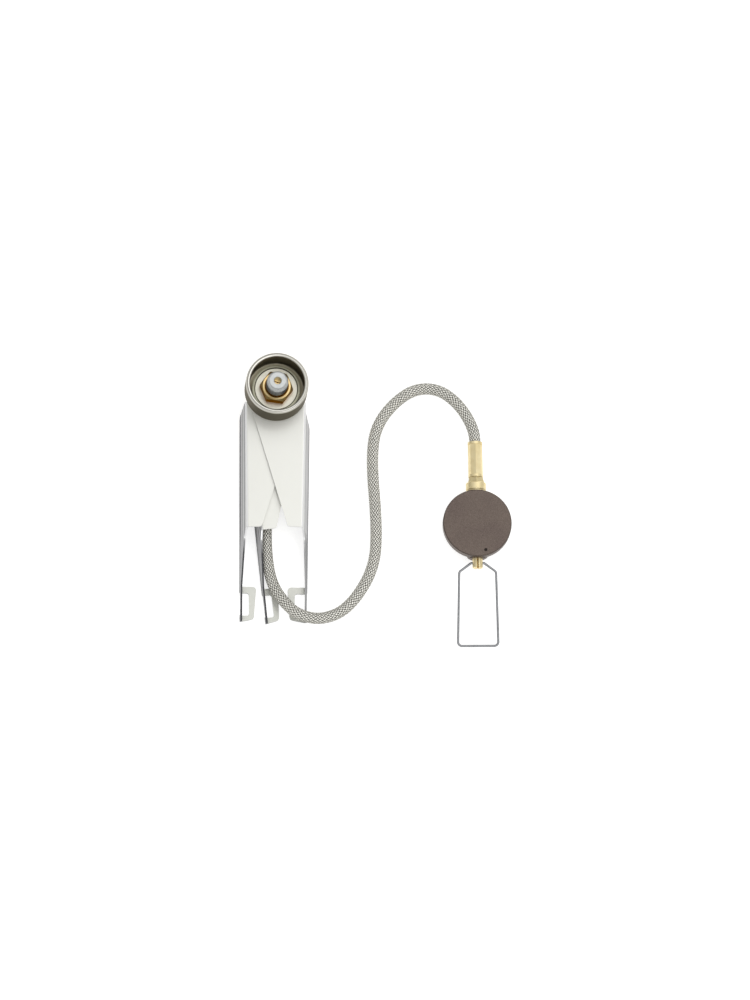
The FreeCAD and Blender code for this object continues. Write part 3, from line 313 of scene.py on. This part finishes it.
# Legs: three stampings of bright rolled stainless sheet, each with a bent flange that ends in a windowed foot.
# They turn on the hub's bush; the two lower ones swing out, the top one is clamped under the cup.
# The distances below are in metres, from the hub's axis outwards (reach) or up from the table.
def measure(tree):
    where = add(tree, "ShaderNodeTexCoord").outputs["Object"]
    place = add(tree, "ShaderNodeSeparateXYZ", {0: where})
    level = add(tree, "ShaderNodeCombineXYZ", {"X": place.outputs["X"], "Y": place.outputs["Y"]})
    reach = add(tree, "ShaderNodeVectorMath", {0: level.outputs[0]}, operation="LENGTH")
    return where, place, reach.outputs["Value"]


PLATE_ENDS = (0.073, 0.079)
FOOT_STARTS = (0.094, 0.099)
FOOT_TOP = (0.0011, 0.0013)
UNDER_PLATES = (0.0124, 0.0120)
BENDS_FROM = (0.0085, 0.0095)
RIGHT_LEG_FROM = (0.010, 0.011)
FLANGE_HEIGHT = 0.011
# Straight lines over the reach, as slope and start: what makes a height count from the flange's lower edge,
# and how wide the strip past the plate is
LOWER_EDGE = (0.0273, -0.0048)
STRIP_WIDTH = (-0.2327, 0.02617)

# Rolled sheet: smooth pale plates with faint waves 25 mm apart, and feet with painted shade, darker than the plates.
# The bend is a painted white highlight, and the flange below it carries a painted reflection of the room as dark and
# bright lines.
leg_steel, t = new_finish("bright_rolled_stainless_sheet")
where, place, reach = measure(t)
height = place.outputs["Z"]
cloud = add(t, "ShaderNodeTexNoise", {"Vector": where, "Scale": 40.0, "Detail": 3.0})
facing = add(t, "ShaderNodeSeparateXYZ", {0: add(t, "ShaderNodeNewGeometry").outputs["Normal"]})
facing = add(t, "ShaderNodeMath", {0: facing.outputs["Z"]}, operation="ABSOLUTE")
plate = add(t, "ShaderNodeMix", {"Factor": cloud.outputs["Fac"], "A": linear("#E8E8E1"), "B": linear("#F1F1EB")},
            data_type="RGBA")
# Painted shade: the feet are darker than the plates
painted_foot_shade = add(t, "ShaderNodeMapRange", {"Value": reach, "From Min": FOOT_STARTS[0], "From Max": FOOT_STARTS[1],
                                     "To Max": 0.8})
plate = add(t, "ShaderNodeMix", {"Factor": painted_foot_shade.outputs[0], "A": plate.outputs["Result"], "B": linear("#D6D7CF")},
            data_type="RGBA")

# Flange: a painted reflection of the room, as dark and bright lines that follow its lower edge, which drops towards
# the foot
edge_height = add(t, "ShaderNodeMath", {0: reach, 1: LOWER_EDGE[0], 2: LOWER_EDGE[1]}, operation="MULTIPLY_ADD")
edge_height = add(t, "ShaderNodeMath", {0: height, 1: edge_height.outputs[0]}, operation="ADD")
up_flange = add(t, "ShaderNodeMapRange", {"Value": edge_height.outputs[0], "From Max": FLANGE_HEIGHT})
side = add(t, "ShaderNodeValToRGB", {0: up_flange.outputs[0]})
side.color_ramp.elements[0].position = 0.0
side.color_ramp.elements[0].color = linear("#404044")
side.color_ramp.elements[1].position = 0.15
side.color_ramp.elements[1].color = linear("#4A4A4E")
for spot, code in ((0.26, "#9E9EA0"), (0.38, "#D4D4D4"), (0.50, "#7A7A7C"), (0.62, "#F0F0EE"), (0.73, "#7A7A7C"),
                   (0.82, "#A8A8AA"), (0.94, "#E0E0DE")):
    side.color_ramp.elements.new(spot).color = linear(code)

# Strip past the plate: the flange narrows, with painted shade that makes it darkest along its lower edge and on the
# right leg
strip_width = add(t, "ShaderNodeMath", {0: reach, 1: STRIP_WIDTH[0], 2: STRIP_WIDTH[1]}, operation="MULTIPLY_ADD")
across = add(t, "ShaderNodeMath", {0: edge_height.outputs[0], 1: strip_width.outputs[0]}, operation="DIVIDE")
past_plate = add(t, "ShaderNodeMapRange", {"Value": reach, "From Min": PLATE_ENDS[0], "From Max": PLATE_ENDS[1]})
right_hand = add(t, "ShaderNodeMapRange", {"Value": place.outputs["X"], "From Min": RIGHT_LEG_FROM[0],
                                           "From Max": RIGHT_LEG_FROM[1]})
painted_strip_shade = add(t, "ShaderNodeValToRGB", {0: across.outputs[0]})
painted_strip_shade.color_ramp.elements[0].position = 0.12
painted_strip_shade.color_ramp.elements[0].color = linear("#6A6A6C")
painted_strip_shade.color_ramp.elements[1].position = 0.28
painted_strip_shade.color_ramp.elements[1].color = linear("#B6B6B8")
painted_strip_shade = add(t, "ShaderNodeMix", {"Factor": right_hand.outputs[0], "A": painted_strip_shade.outputs["Color"],
                                 "B": linear("#565658")}, data_type="RGBA")
side = add(t, "ShaderNodeMix", {"Factor": past_plate.outputs[0], "A": side.outputs["Color"],
                                "B": painted_strip_shade.outputs["Result"]}, data_type="RGBA")

# Sheared top edge of that strip: rough from the die, so darker than the rolled faces, with painted shade on it that
# is much darker on the legs to the left than on the right leg
over_foot = add(t, "ShaderNodeMapRange", {"Value": height, "From Min": FOOT_TOP[0], "From Max": FOOT_TOP[1]})
under_plate = add(t, "ShaderNodeMapRange", {"Value": height, "From Min": UNDER_PLATES[0],
                                            "From Max": UNDER_PLATES[1]})
sheared = add(t, "ShaderNodeMath", {0: over_foot.outputs[0], 1: under_plate.outputs[0]}, operation="MULTIPLY")
sheared = add(t, "ShaderNodeMath", {0: sheared.outputs[0], 1: past_plate.outputs[0]}, operation="MULTIPLY")
cut_edge_and_shade = add(t, "ShaderNodeMix", {"Factor": right_hand.outputs[0], "A": linear("#444446"),
                                    "B": linear("#A0A0A0")}, data_type="RGBA")
plate = add(t, "ShaderNodeMix", {"Factor": sheared.outputs[0], "A": plate.outputs["Result"],
                                 "B": cut_edge_and_shade.outputs["Result"]}, data_type="RGBA")

# Level faces take the plate's colour and upright ones the flange's painted reflection, with the bend's painted white
# highlight between them
lie = add(t, "ShaderNodeMapRange", {"Value": facing.outputs[0], "From Min": 0.35, "From Max": 0.92})
tint = add(t, "ShaderNodeMix", {"Factor": lie.outputs[0], "A": side.outputs["Result"],
                                "B": plate.outputs["Result"]}, data_type="RGBA")
rolled_up = add(t, "ShaderNodeMapRange", {"Value": facing.outputs[0], "From Min": 0.40, "From Max": 0.58})
rolled_flat = add(t, "ShaderNodeMapRange", {"Value": facing.outputs[0], "From Min": 0.985, "From Max": 0.90})
high_up = add(t, "ShaderNodeMapRange", {"Value": height, "From Min": BENDS_FROM[0], "From Max": BENDS_FROM[1]})
painted_bend_highlight = add(t, "ShaderNodeMath", {0: rolled_up.outputs[0], 1: rolled_flat.outputs[0]}, operation="MULTIPLY")
painted_bend_highlight = add(t, "ShaderNodeMath", {0: painted_bend_highlight.outputs[0], 1: high_up.outputs[0]}, operation="MULTIPLY")
tint = add(t, "ShaderNodeMix", {"Factor": painted_bend_highlight.outputs[0], "A": tint.outputs["Result"], "B": linear("#FFFFFF")},
           data_type="RGBA")
rough = add(t, "ShaderNodeMapRange", {"Value": cloud.outputs["Fac"], "To Min": 0.26, "To Max": 0.36})
waves = add(t, "ShaderNodeBump", {"Height": cloud.outputs["Fac"], "Strength": 0.05, "Distance": 0.0003})
shine = add(t, "ShaderNodeMapRange", {"Value": lie.outputs[0], "To Min": 0.12, "To Max": 0.32})
skin = add(t, "ShaderNodeBsdfPrincipled", {"Base Color": tint.outputs["Result"], "Metallic": shine.outputs[0],
                                           "Specular IOR Level": 0.15,
                                           "Roughness": rough.outputs[0], "Normal": waves.outputs[0]})
add(t, "ShaderNodeOutputMaterial", {"Surface": skin.outputs[0]})
coat(leg_steel, "right_leg", "left_leg", "middle_leg")

# Burner cup and its standoff: deep-drawn stainless, turned on the rim, darkened by the flame.
# The cup is clamped between the top leg and the brass nut, and its rim is rolled inwards.
RIM_RINGS = (0.0136, 0.0162)
WALL_FROM = (0.01535, 0.0156)
RIM_FROM = (0.0316, 0.0322)

# Drawn steel: a dark brownish wall and a paler bore, both with fine rings round them, 0.6 mm apart, from the
# drawing die. The rolled rim is bright, with a dark line of painted shade in the crease where its lip ends.
cup_steel, t = new_finish("drawn_stainless_heat_darkened")
where, place, radius = measure(t)
rings = add(t, "ShaderNodeMapRange", {"Value": radius, "From Min": RIM_RINGS[0], "From Max": RIM_RINGS[1]})
drawn = add(t, "ShaderNodeMapping", {"Vector": where, "Scale": (140.0, 140.0, 1600.0)})
drawn = add(t, "ShaderNodeTexNoise", {"Vector": drawn.outputs[0], "Scale": 1.0, "Detail": 3.0})
outside = add(t, "ShaderNodeMapRange", {"Value": radius, "From Min": WALL_FROM[0], "From Max": WALL_FROM[1]})
wall = add(t, "ShaderNodeMix", {"Factor": drawn.outputs["Fac"], "A": linear("#4A4742"), "B": linear("#7C7870")},
           data_type="RGBA")
bore = add(t, "ShaderNodeMix", {"Factor": drawn.outputs["Fac"], "A": linear("#A09A86"), "B": linear("#CBC5B1")},
           data_type="RGBA")
wall = add(t, "ShaderNodeMix", {"Factor": outside.outputs[0], "A": bore.outputs["Result"],
                                "B": wall.outputs["Result"]}, data_type="RGBA")
rim = add(t, "ShaderNodeValToRGB", {0: rings.outputs[0]})
rim.color_ramp.elements[0].color = linear("#6F6B60")
rim.color_ramp.elements[1].color = linear("#8A877E")
# The dark stop at 0.58 is painted shade where the lip ends
for spot, code in ((0.12, "#C6C3B9"), (0.45, "#E6E4DC"), (0.58, "#716D64"), (0.68, "#D2CFC6"), (0.85, "#E0DED6")):
    rim.color_ramp.elements.new(spot).color = linear(code)
rolled = add(t, "ShaderNodeMapRange", {"Value": place.outputs["Z"], "From Min": RIM_FROM[0],
                                       "From Max": RIM_FROM[1]})
tint = add(t, "ShaderNodeMix", {"Factor": rolled.outputs[0], "A": wall.outputs["Result"],
                                "B": rim.outputs["Color"]}, data_type="RGBA")
rough = add(t, "ShaderNodeMapRange", {"Value": rolled.outputs[0], "To Min": 0.42, "To Max": 0.30})
smoothed = add(t, "ShaderNodeMapRange", {"Value": rolled.outputs[0], "To Min": 0.15, "To Max": 0.0})
marks = add(t, "ShaderNodeBump", {"Height": drawn.outputs["Fac"], "Strength": smoothed.outputs[0],
                                  "Distance": 0.0001})
skin = add(t, "ShaderNodeBsdfPrincipled", {"Base Color": tint.outputs["Result"], "Metallic": 1.0,
                                           "Specular Tint": linear("#C2BEB4"),
                                           "Roughness": rough.outputs[0], "Normal": marks.outputs[0]})
add(t, "ShaderNodeOutputMaterial", {"Surface": skin.outputs[0]})
coat(cup_steel, "burner_cup", "cup_standoff")

# Cup floor: a stainless disc turned with a raised edge.
# It lies on the standoff and is held down by the nut.
TURNING_FEED = 0.0003
EDGE_STEP = (0.0103, 0.0123)

# Turned satin steel: pale and warm, with stains a few millimetres wide, faint turning rings and painted shade
# in the groove inside the raised edge. The rings are drawn as coarse as 0.3 mm, because real ones are too fine to
# show.
floor_steel, t = new_finish("turned_stainless_satin")
where, place, radius = measure(t)
rings = add(t, "ShaderNodeMath", {0: radius, 1: 2 * math.pi / TURNING_FEED}, operation="MULTIPLY")
rings = add(t, "ShaderNodeMath", {0: rings.outputs[0]}, operation="SINE")
stain = add(t, "ShaderNodeTexNoise", {"Vector": where, "Scale": 260.0, "Detail": 4.0})
disc = add(t, "ShaderNodeMix", {"Factor": stain.outputs["Fac"], "A": linear("#D8D4C2"), "B": linear("#F0EEE2")},
           data_type="RGBA")
zones_with_painted_shade = add(t, "ShaderNodeMapRange", {"Value": radius, "From Min": EDGE_STEP[0], "From Max": EDGE_STEP[1]})
# Painted shade: the dark band in the groove inside the raised edge
zones_with_painted_shade = add(t, "ShaderNodeValToRGB", {0: zones_with_painted_shade.outputs[0]})
zones_with_painted_shade.color_ramp.elements[0].position = 0.14
zones_with_painted_shade.color_ramp.elements[1].position = 0.20
zones_with_painted_shade.color_ramp.elements[0].color = linear("#FFFFFF")
zones_with_painted_shade.color_ramp.elements[1].color = linear("#5A574E")
for spot, code in ((0.40, "#5A574E"), (0.46, "#C9CABF"), (0.86, "#B9BAAF"), (0.98, "#6E6D64")):
    zones_with_painted_shade.color_ramp.elements.new(spot).color = linear(code)
tint = add(t, "ShaderNodeMix", {"Factor": 1.0, "A": disc.outputs["Result"], "B": zones_with_painted_shade.outputs["Color"]},
           data_type="RGBA", blend_type="MULTIPLY")
marks = add(t, "ShaderNodeBump", {"Height": rings.outputs[0], "Strength": 0.08, "Distance": 0.00003})
skin = add(t, "ShaderNodeBsdfPrincipled", {"Base Color": tint.outputs["Result"], "Metallic": 1.0,
                                           "Roughness": 0.38, "Normal": marks.outputs[0]})
add(t, "ShaderNodeOutputMaterial", {"Surface": skin.outputs[0]})
coat(floor_steel, "cup_floor")

# Brass of the hub: the hexagon nut, the block under the legs, the hose nipple and the small parts in the post.
# They are turned from bar and screwed together on the post.
COUNTERBORE = (0.00612, 0.00622)
SCREW_EDGE = (0.0025, 0.0024)
CUP_BASE = (0.0180, 0.0185)

# Machined brass: inside the cup the upright flats and the counterbore are painted dark brown as shade, in patches of
# about 3 mm, while the turned faces there are painted bright yellow as light; everything below the cup keeps a plain
# mid yellow.
hub_brass, t = new_finish("machined_brass_painted_light_and_shade")
where, place, radius = measure(t)
patch = add(t, "ShaderNodeTexNoise", {"Vector": where, "Scale": 350.0, "Detail": 4.0})
facing = add(t, "ShaderNodeSeparateXYZ", {0: add(t, "ShaderNodeNewGeometry").outputs["Normal"]})
painted_light_brass = add(t, "ShaderNodeMix", {"Factor": patch.outputs["Fac"], "A": linear("#E6BE70"), "B": linear("#FAE6B6")},
             data_type="RGBA")
painted_shade_brown = add(t, "ShaderNodeMix", {"Factor": patch.outputs["Fac"], "A": linear("#432604"), "B": linear("#885818")},
            data_type="RGBA")
brass_below_cup = add(t, "ShaderNodeMix", {"Factor": patch.outputs["Fac"], "A": linear("#B8934A"), "B": linear("#DDBF7C")},
            data_type="RGBA")
open_face = add(t, "ShaderNodeMapRange", {"Value": radius, "From Min": COUNTERBORE[0], "From Max": COUNTERBORE[1]})
screw_face = add(t, "ShaderNodeMapRange", {"Value": radius, "From Min": SCREW_EDGE[0], "From Max": SCREW_EDGE[1]})
open_face = add(t, "ShaderNodeMath", {0: open_face.outputs[0], 1: screw_face.outputs[0]}, operation="MAXIMUM")
# Painted light and shade: faces looking up take the bright brass, upright ones and the counterbore the dark brown
lie = add(t, "ShaderNodeMapRange", {"Value": facing.outputs["Z"], "From Min": 0.2, "From Max": 0.7})
lie = add(t, "ShaderNodeMath", {0: lie.outputs[0], 1: open_face.outputs[0]}, operation="MULTIPLY")
tint = add(t, "ShaderNodeMix", {"Factor": lie.outputs[0], "A": painted_shade_brown.outputs["Result"],
                                "B": painted_light_brass.outputs["Result"]}, data_type="RGBA")
inside_cup = add(t, "ShaderNodeMapRange", {"Value": place.outputs["Z"], "From Min": CUP_BASE[0],
                                         "From Max": CUP_BASE[1]})
tint = add(t, "ShaderNodeMix", {"Factor": inside_cup.outputs[0], "A": brass_below_cup.outputs["Result"],
                                "B": tint.outputs["Result"]}, data_type="RGBA")
rough = add(t, "ShaderNodeMapRange", {"Value": patch.outputs["Fac"], "To Min": 0.22, "To Max": 0.40})
skin = add(t, "ShaderNodeBsdfPrincipled", {"Base Color": tint.outputs["Result"], "Metallic": 1.0,
                                           "Specular Tint": linear("#E0BC84"),
                                           "Roughness": rough.outputs[0]})
add(t, "ShaderNodeOutputMaterial", {"Surface": skin.outputs[0]})
coat(hub_brass, "post_nut", "inlet_block", "base_hose_nipple", "post_filter", "post_filter_screw", "valve_seat")

# Gas post: turned steel, zinc plated and drilled through; the burner head screws on its thread.
# The core is a turned shape at the thread's root, in millimetres as (radius, height), and the thread is wound on it.
POST_PROFILE = [
    (1.0, 8.6), (4.6, 8.6), (4.9, 8.9), (4.9, 27.5), (5.23, 27.5), (5.23, 36.4), (4.4, 37.75), (4.1, 38.0),
    (2.05, 38.0), (1.85, 37.8), (1.85, 31.2), (1.0, 31.2),
]
POST_SEGMENTS = 96

# Zinc plate: cold pale grey, half matt, with a cloudy bloom in patches of about 2 mm.
# The bush, the washers and the needle have the same plating.
zinc, t = new_finish("turned_steel_zinc_plated")
where = add(t, "ShaderNodeTexCoord")
bloom = add(t, "ShaderNodeTexNoise", {"Vector": where.outputs["Object"], "Scale": 420.0, "Detail": 5.0})
tint = add(t, "ShaderNodeMix", {"Factor": bloom.outputs["Fac"], "A": linear("#B0B4B4"), "B": linear("#DCDEDC")},
           data_type="RGBA")
rough = add(t, "ShaderNodeMapRange", {"Value": bloom.outputs["Fac"], "To Min": 0.28, "To Max": 0.50})
pits = add(t, "ShaderNodeBump", {"Height": bloom.outputs["Fac"], "Strength": 0.2, "Distance": 0.00006})
skin = add(t, "ShaderNodeBsdfPrincipled", {"Base Color": tint.outputs["Result"], "Metallic": 0.9,
                                           "Roughness": rough.outputs[0], "Normal": pits.outputs[0]})
add(t, "ShaderNodeOutputMaterial", {"Surface": skin.outputs[0]})
coat(zinc, "gas_post", "hub_sleeve", "thrust_washer", "lower_leg_washer", "upper_leg_washer", "valve_needle")

post_points = []
for r, z in POST_PROFILE:
    for k in range(POST_SEGMENTS):
        turn = 2 * math.pi * k / POST_SEGMENTS
        post_points.append((r * math.cos(turn) / 1000, r * math.sin(turn) / 1000, z / 1000))
post_faces = []
for i in range(len(POST_PROFILE)):
    low, high = i * POST_SEGMENTS, (i + 1) % len(POST_PROFILE) * POST_SEGMENTS
    for k in range(POST_SEGMENTS):
        m = (k + 1) % POST_SEGMENTS
        post_faces.append((low + k, low + m, high + m, high + k))
post_mesh = bpy.data.meshes.new("post_core")
post_mesh.from_pydata(post_points, [], post_faces)
post_mesh.shade_smooth()
post_mesh.set_sharp_from_angle(angle=math.radians(20))
post_mesh.materials.append(zinc)
post_core = bpy.data.objects.new("post_core", post_mesh)
scene.collection.objects.link(post_core)

# Screw thread: a ridge of four sides along a helix, half sunk into the wall that carries it, fading at its ends.
# A real one is cut in one piece with that wall, so it has the wall's finish.
FLANK_SHARE = 0.46
FADE_FROM = 0.44
thread_tree = bpy.data.node_groups.new("screw_thread", "GeometryNodeTree")
for name, kind in (("Radius", "NodeSocketFloat"), ("Pitch", "NodeSocketFloat"), ("Turns", "NodeSocketFloat"),
                   ("Depth", "NodeSocketFloat"), ("Finish", "NodeSocketMaterial")):
    thread_tree.interface.new_socket(name=name, in_out="INPUT", socket_type=kind)
thread_tree.interface.new_socket(name="Thread", in_out="OUTPUT", socket_type="NodeSocketGeometry")
t = thread_tree
given = add(t, "NodeGroupInput").outputs
tall = add(t, "ShaderNodeMath", {0: given["Pitch"], 1: given["Turns"]}, operation="MULTIPLY")
helix = add(t, "GeometryNodeCurveSpiral", {"Resolution": 64, "Rotations": given["Turns"],
                                           "Start Radius": given["Radius"], "End Radius": given["Radius"],
                                           "Height": tall.outputs[0], "Reverse": False})
level = add(t, "GeometryNodeSetCurveNormal", {"Curve": helix.outputs[0]}, mode="Z_UP")
wide = add(t, "ShaderNodeMath", {0: given["Depth"], 1: 2.0}, operation="MULTIPLY")
half = add(t, "ShaderNodeMath", {0: given["Pitch"], 1: FLANK_SHARE}, operation="MULTIPLY")
ridge = add(t, "GeometryNodeCurvePrimitiveQuadrilateral", {"Width": wide.outputs[0],
                                                           "Bottom Height": half.outputs[0],
                                                           "Top Height": half.outputs[0]}, mode="KITE")
ends = add(t, "GeometryNodeSplineParameter")
ends = add(t, "ShaderNodeMath", {0: ends.outputs["Factor"], 1: 0.5}, operation="SUBTRACT")
ends = add(t, "ShaderNodeMath", {0: ends.outputs[0]}, operation="ABSOLUTE")
fade = add(t, "ShaderNodeMapRange", {"Value": ends.outputs[0], "From Min": 0.5, "From Max": FADE_FROM,
                                     "To Min": 0.1})
wound = add(t, "GeometryNodeCurveToMesh", {"Curve": level.outputs[0], "Profile Curve": ridge.outputs[0],
                                           "Fill Caps": True, "Scale": fade.outputs[0]})
solid = add(t, "GeometryNodeRealizeInstances", {"Geometry": wound.outputs[0]})
coated = add(t, "GeometryNodeSetMaterial", {"Geometry": solid.outputs[0], "Material": given["Finish"]})
add(t, "NodeGroupOutput", {"Thread": coated.outputs[0]})


def wind(name, place, sizes):
    mesh = grow(thread_tree, sizes)
    mesh.transform(Matrix.Translation(place))
    made = bpy.data.objects.new(name, mesh)
    scene.collection.objects.link(made)
    return made


post_thread = wind("post_thread", Vector((0.0, 0.0, 0.0281)),
                   {"Radius": 0.00523, "Pitch": 0.001, "Turns": 8.0, "Depth": 0.00032, "Finish": zinc})
for piece in (post_core, post_thread):
    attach(piece, "base")
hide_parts("gas_post")

# Hose ends and spindle: pale brass, turned, the ferrules crimped to eight flats over the braid.
# The adapter screws into the valve; the spindle turns in the gland bush.

# Turned brass: light yellow and half matt, with handling patches of about 3 mm.
# The turning marks are drawn as coarse as 0.5 mm, because real ones are too fine to show.
pale_brass, t = new_finish("turned_pale_brass")
where = add(t, "ShaderNodeTexCoord")
turning = add(t, "ShaderNodeMapping", {"Vector": where.outputs["Object"], "Scale": (150.0, 2200.0, 150.0)})
turning = add(t, "ShaderNodeTexNoise", {"Vector": turning.outputs[0], "Scale": 1.0, "Detail": 3.0})
patch = add(t, "ShaderNodeTexNoise", {"Vector": where.outputs["Object"], "Scale": 300.0, "Detail": 3.0})
tint = add(t, "ShaderNodeMix", {"Factor": patch.outputs["Fac"], "A": linear("#E2CF9A"), "B": linear("#F6E9C2")},
           data_type="RGBA")
rough = add(t, "ShaderNodeMapRange", {"Value": turning.outputs["Fac"], "To Min": 0.42, "To Max": 0.60})
marks = add(t, "ShaderNodeBump", {"Height": turning.outputs["Fac"], "Strength": 0.15, "Distance": 0.00005})
skin = add(t, "ShaderNodeBsdfPrincipled", {"Base Color": tint.outputs["Result"], "Metallic": 1.0,
                                           "Roughness": rough.outputs[0], "Normal": marks.outputs[0]})
add(t, "ShaderNodeOutputMaterial", {"Surface": skin.outputs[0]})
coat(pale_brass, "base_hose_ferrule", "valve_hose_ferrule", "valve_hose_adapter", "adapter_washer",
     "depressor_pin", "valve_spindle")

# Web in the spindle's slot: a thin wall of the hub's brass in the slot's lower half, put there as painted shade so
# the slot reads dark.
# It rides on the spindle and turns with it.
VALVE_X, VALVE_Y = 0.1031, -0.0668
SPINDLE_HEIGHT = 0.0084
VALVE_TURN = math.radians(1.1)
WEB_ACROSS, WEB_ALONG, WEB_UP = (-0.00039, 0.00039), (-0.0221, -0.0173), (-0.0022, -0.0012)
web_mesh = bpy.data.meshes.new("spindle_web")
web_at = Matrix.Translation((VALVE_X, VALVE_Y, SPINDLE_HEIGHT)) @ Matrix.Rotation(VALVE_TURN, 4, "Z")
corners = [web_at @ Vector((x, y, z)) for x in WEB_ACROSS for y in WEB_ALONG for z in WEB_UP]
web_mesh.from_pydata(corners, [], [(0, 1, 3, 2), (4, 6, 7, 5), (0, 4, 5, 1), (2, 3, 7, 6), (0, 2, 6, 4),
                                   (1, 5, 7, 3)])
spindle_web = bpy.data.objects.new("spindle_web", web_mesh)
web_mesh.materials.append(hub_brass)
scene.collection.objects.link(spindle_web)
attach(spindle_web, "spindle")

# Valve body and gland bush: turned aluminium, blasted and anodised dark brown.
# The canister screws in from below, and the bush is locked in its port by a small pin.

# Blasted and anodised: an even dull brown with faint clouds about 20 mm wide.
# The blasting's speckle is drawn as coarse as 0.4 mm, because the real grit is too fine to show.
anodised, t = new_finish("blasted_aluminium_dark_anodised")
where = add(t, "ShaderNodeTexCoord")
blast = add(t, "ShaderNodeTexNoise", {"Vector": where.outputs["Object"], "Scale": 2600.0, "Detail": 3.0})
cloud = add(t, "ShaderNodeTexNoise", {"Vector": where.outputs["Object"], "Scale": 45.0, "Detail": 2.0})
tone = add(t, "ShaderNodeMix", {"Factor": cloud.outputs["Fac"], "A": linear("#5D504E"), "B": linear("#776C62")},
           data_type="RGBA")
speck = add(t, "ShaderNodeMapRange", {"Value": blast.outputs["Fac"], "From Min": 0.3, "From Max": 0.7,
                                      "To Min": 0.75, "To Max": 1.2})
tint = add(t, "ShaderNodeVectorMath", {0: tone.outputs["Result"], "Scale": speck.outputs[0]}, operation="SCALE")
grit = add(t, "ShaderNodeBump", {"Height": blast.outputs["Fac"], "Strength": 0.25, "Distance": 0.00008})
skin = add(t, "ShaderNodeBsdfPrincipled", {"Base Color": tint.outputs[0], "Metallic": 0.85, "Roughness": 0.48,
                                           "Normal": grit.outputs[0]})
add(t, "ShaderNodeOutputMaterial", {"Surface": skin.outputs[0]})
coat(anodised, "valve_body", "gland_bush")

# Valve disc: the same anodised body, with the face of the spindle's port dressed flush with the round edge.
# It is made on a merged copy of the CAD mesh and stands for the body.
DISC_RADIUS, PORT_FACE, NEAR = 0.0175, -0.0176, 0.00003
valve_at = Matrix.Translation((VALVE_X, VALVE_Y, 0.0)) @ Matrix.Rotation(VALVE_TURN, 4, "Z")
into_valve = valve_at.inverted()
shell = bmesh.new()
shell.from_mesh(cad["valve_body"].data)
bmesh.ops.remove_doubles(shell, verts=shell.verts, dist=1e-6)
for point in shell.verts:
    local = into_valve @ point.co
    if abs(local.y - PORT_FACE) < NEAR:
        local.y = -math.sqrt(DISC_RADIUS ** 2 - local.x ** 2)
        point.co = valve_at @ local
bmesh.ops.dissolve_degenerate(shell, dist=1e-5, edges=shell.edges)
disc_mesh = bpy.data.meshes.new("valve_disc")
shell.to_mesh(disc_mesh)
shell.free()
disc_mesh.shade_flat()
disc_mesh.materials.clear()
disc_mesh.materials.append(anodised)
valve_disc = bpy.data.objects.new("valve_disc", disc_mesh)
scene.collection.objects.link(valve_disc)
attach(valve_disc, "base")
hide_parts("valve_body")

# Canister thread: the usual 7/16 inch thread of gas canisters, 28 turns to the inch.
# It is cut into the socket's wall from below and anodised with the body.
socket_thread = wind("socket_thread", Vector((VALVE_X, VALVE_Y, 0.0010)),
                     {"Radius": 0.00556, "Pitch": 0.000907, "Turns": 5.0, "Depth": 0.0003, "Finish": anodised})
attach(socket_thread, "base")

# Lock pin: a short steel pin, ground and blackened in oil, pressed through the disc into the bush.
# Oil black is a thin dark film with a soft shine, rubbed by handling in patches of about 1 mm.
black_steel, t = new_finish("ground_steel_oil_blackened")
where = add(t, "ShaderNodeTexCoord")
rubbed = add(t, "ShaderNodeTexNoise", {"Vector": where.outputs["Object"], "Scale": 900.0, "Detail": 3.0})
tint = add(t, "ShaderNodeMix", {"Factor": rubbed.outputs["Fac"], "A": linear("#262220"), "B": linear("#322D2A")},
           data_type="RGBA")
rough = add(t, "ShaderNodeMapRange", {"Value": rubbed.outputs["Fac"], "To Min": 0.28, "To Max": 0.42})
skin = add(t, "ShaderNodeBsdfPrincipled", {"Base Color": tint.outputs["Result"], "Metallic": 1.0,
                                           "Roughness": rough.outputs[0]})
add(t, "ShaderNodeOutputMaterial", {"Surface": skin.outputs[0]})
coat(black_steel, "gland_lock_pin")

# Bail: hard-drawn steel wire bent to a loop, its two ends sprung into the spindle's cross hole.
# Drawn wire is a cool mid grey with a dull shine and lighter patches of about 2 mm.
wire_steel, t = new_finish("hard_drawn_steel_wire")
where = add(t, "ShaderNodeTexCoord")
streak = add(t, "ShaderNodeTexNoise", {"Vector": where.outputs["Object"], "Scale": 500.0, "Detail": 3.0})
tint = add(t, "ShaderNodeMix", {"Factor": streak.outputs["Fac"], "A": linear("#747578"), "B": linear("#A8A9AB")},
           data_type="RGBA")
skin = add(t, "ShaderNodeBsdfPrincipled", {"Base Color": tint.outputs["Result"], "Metallic": 1.0,
                                           "Roughness": 0.34})
add(t, "ShaderNodeOutputMaterial", {"Surface": skin.outputs[0]})
coat(wire_steel, "wire_bail")

# Seals: rings moulded of nitrile rubber, squeezed under the post, in the canister socket and round the spindle.
# Moulded rubber is a dusty black with little shine; the dust lies in specks of about 1 mm.
seal_rubber, t = new_finish("moulded_nitrile_rubber")
where = add(t, "ShaderNodeTexCoord")
dust = add(t, "ShaderNodeTexNoise", {"Vector": where.outputs["Object"], "Scale": 1200.0})
tone = add(t, "ShaderNodeMix", {"Factor": dust.outputs["Fac"], "A": linear("#161616"), "B": linear("#2B2A29")},
           data_type="RGBA")
skin = add(t, "ShaderNodeBsdfPrincipled", {"Base Color": tone.outputs["Result"], "Roughness": 0.55})
add(t, "ShaderNodeOutputMaterial", {"Surface": skin.outputs[0]})
coat(seal_rubber, "post_gasket", "canister_seal", "spindle_seal")
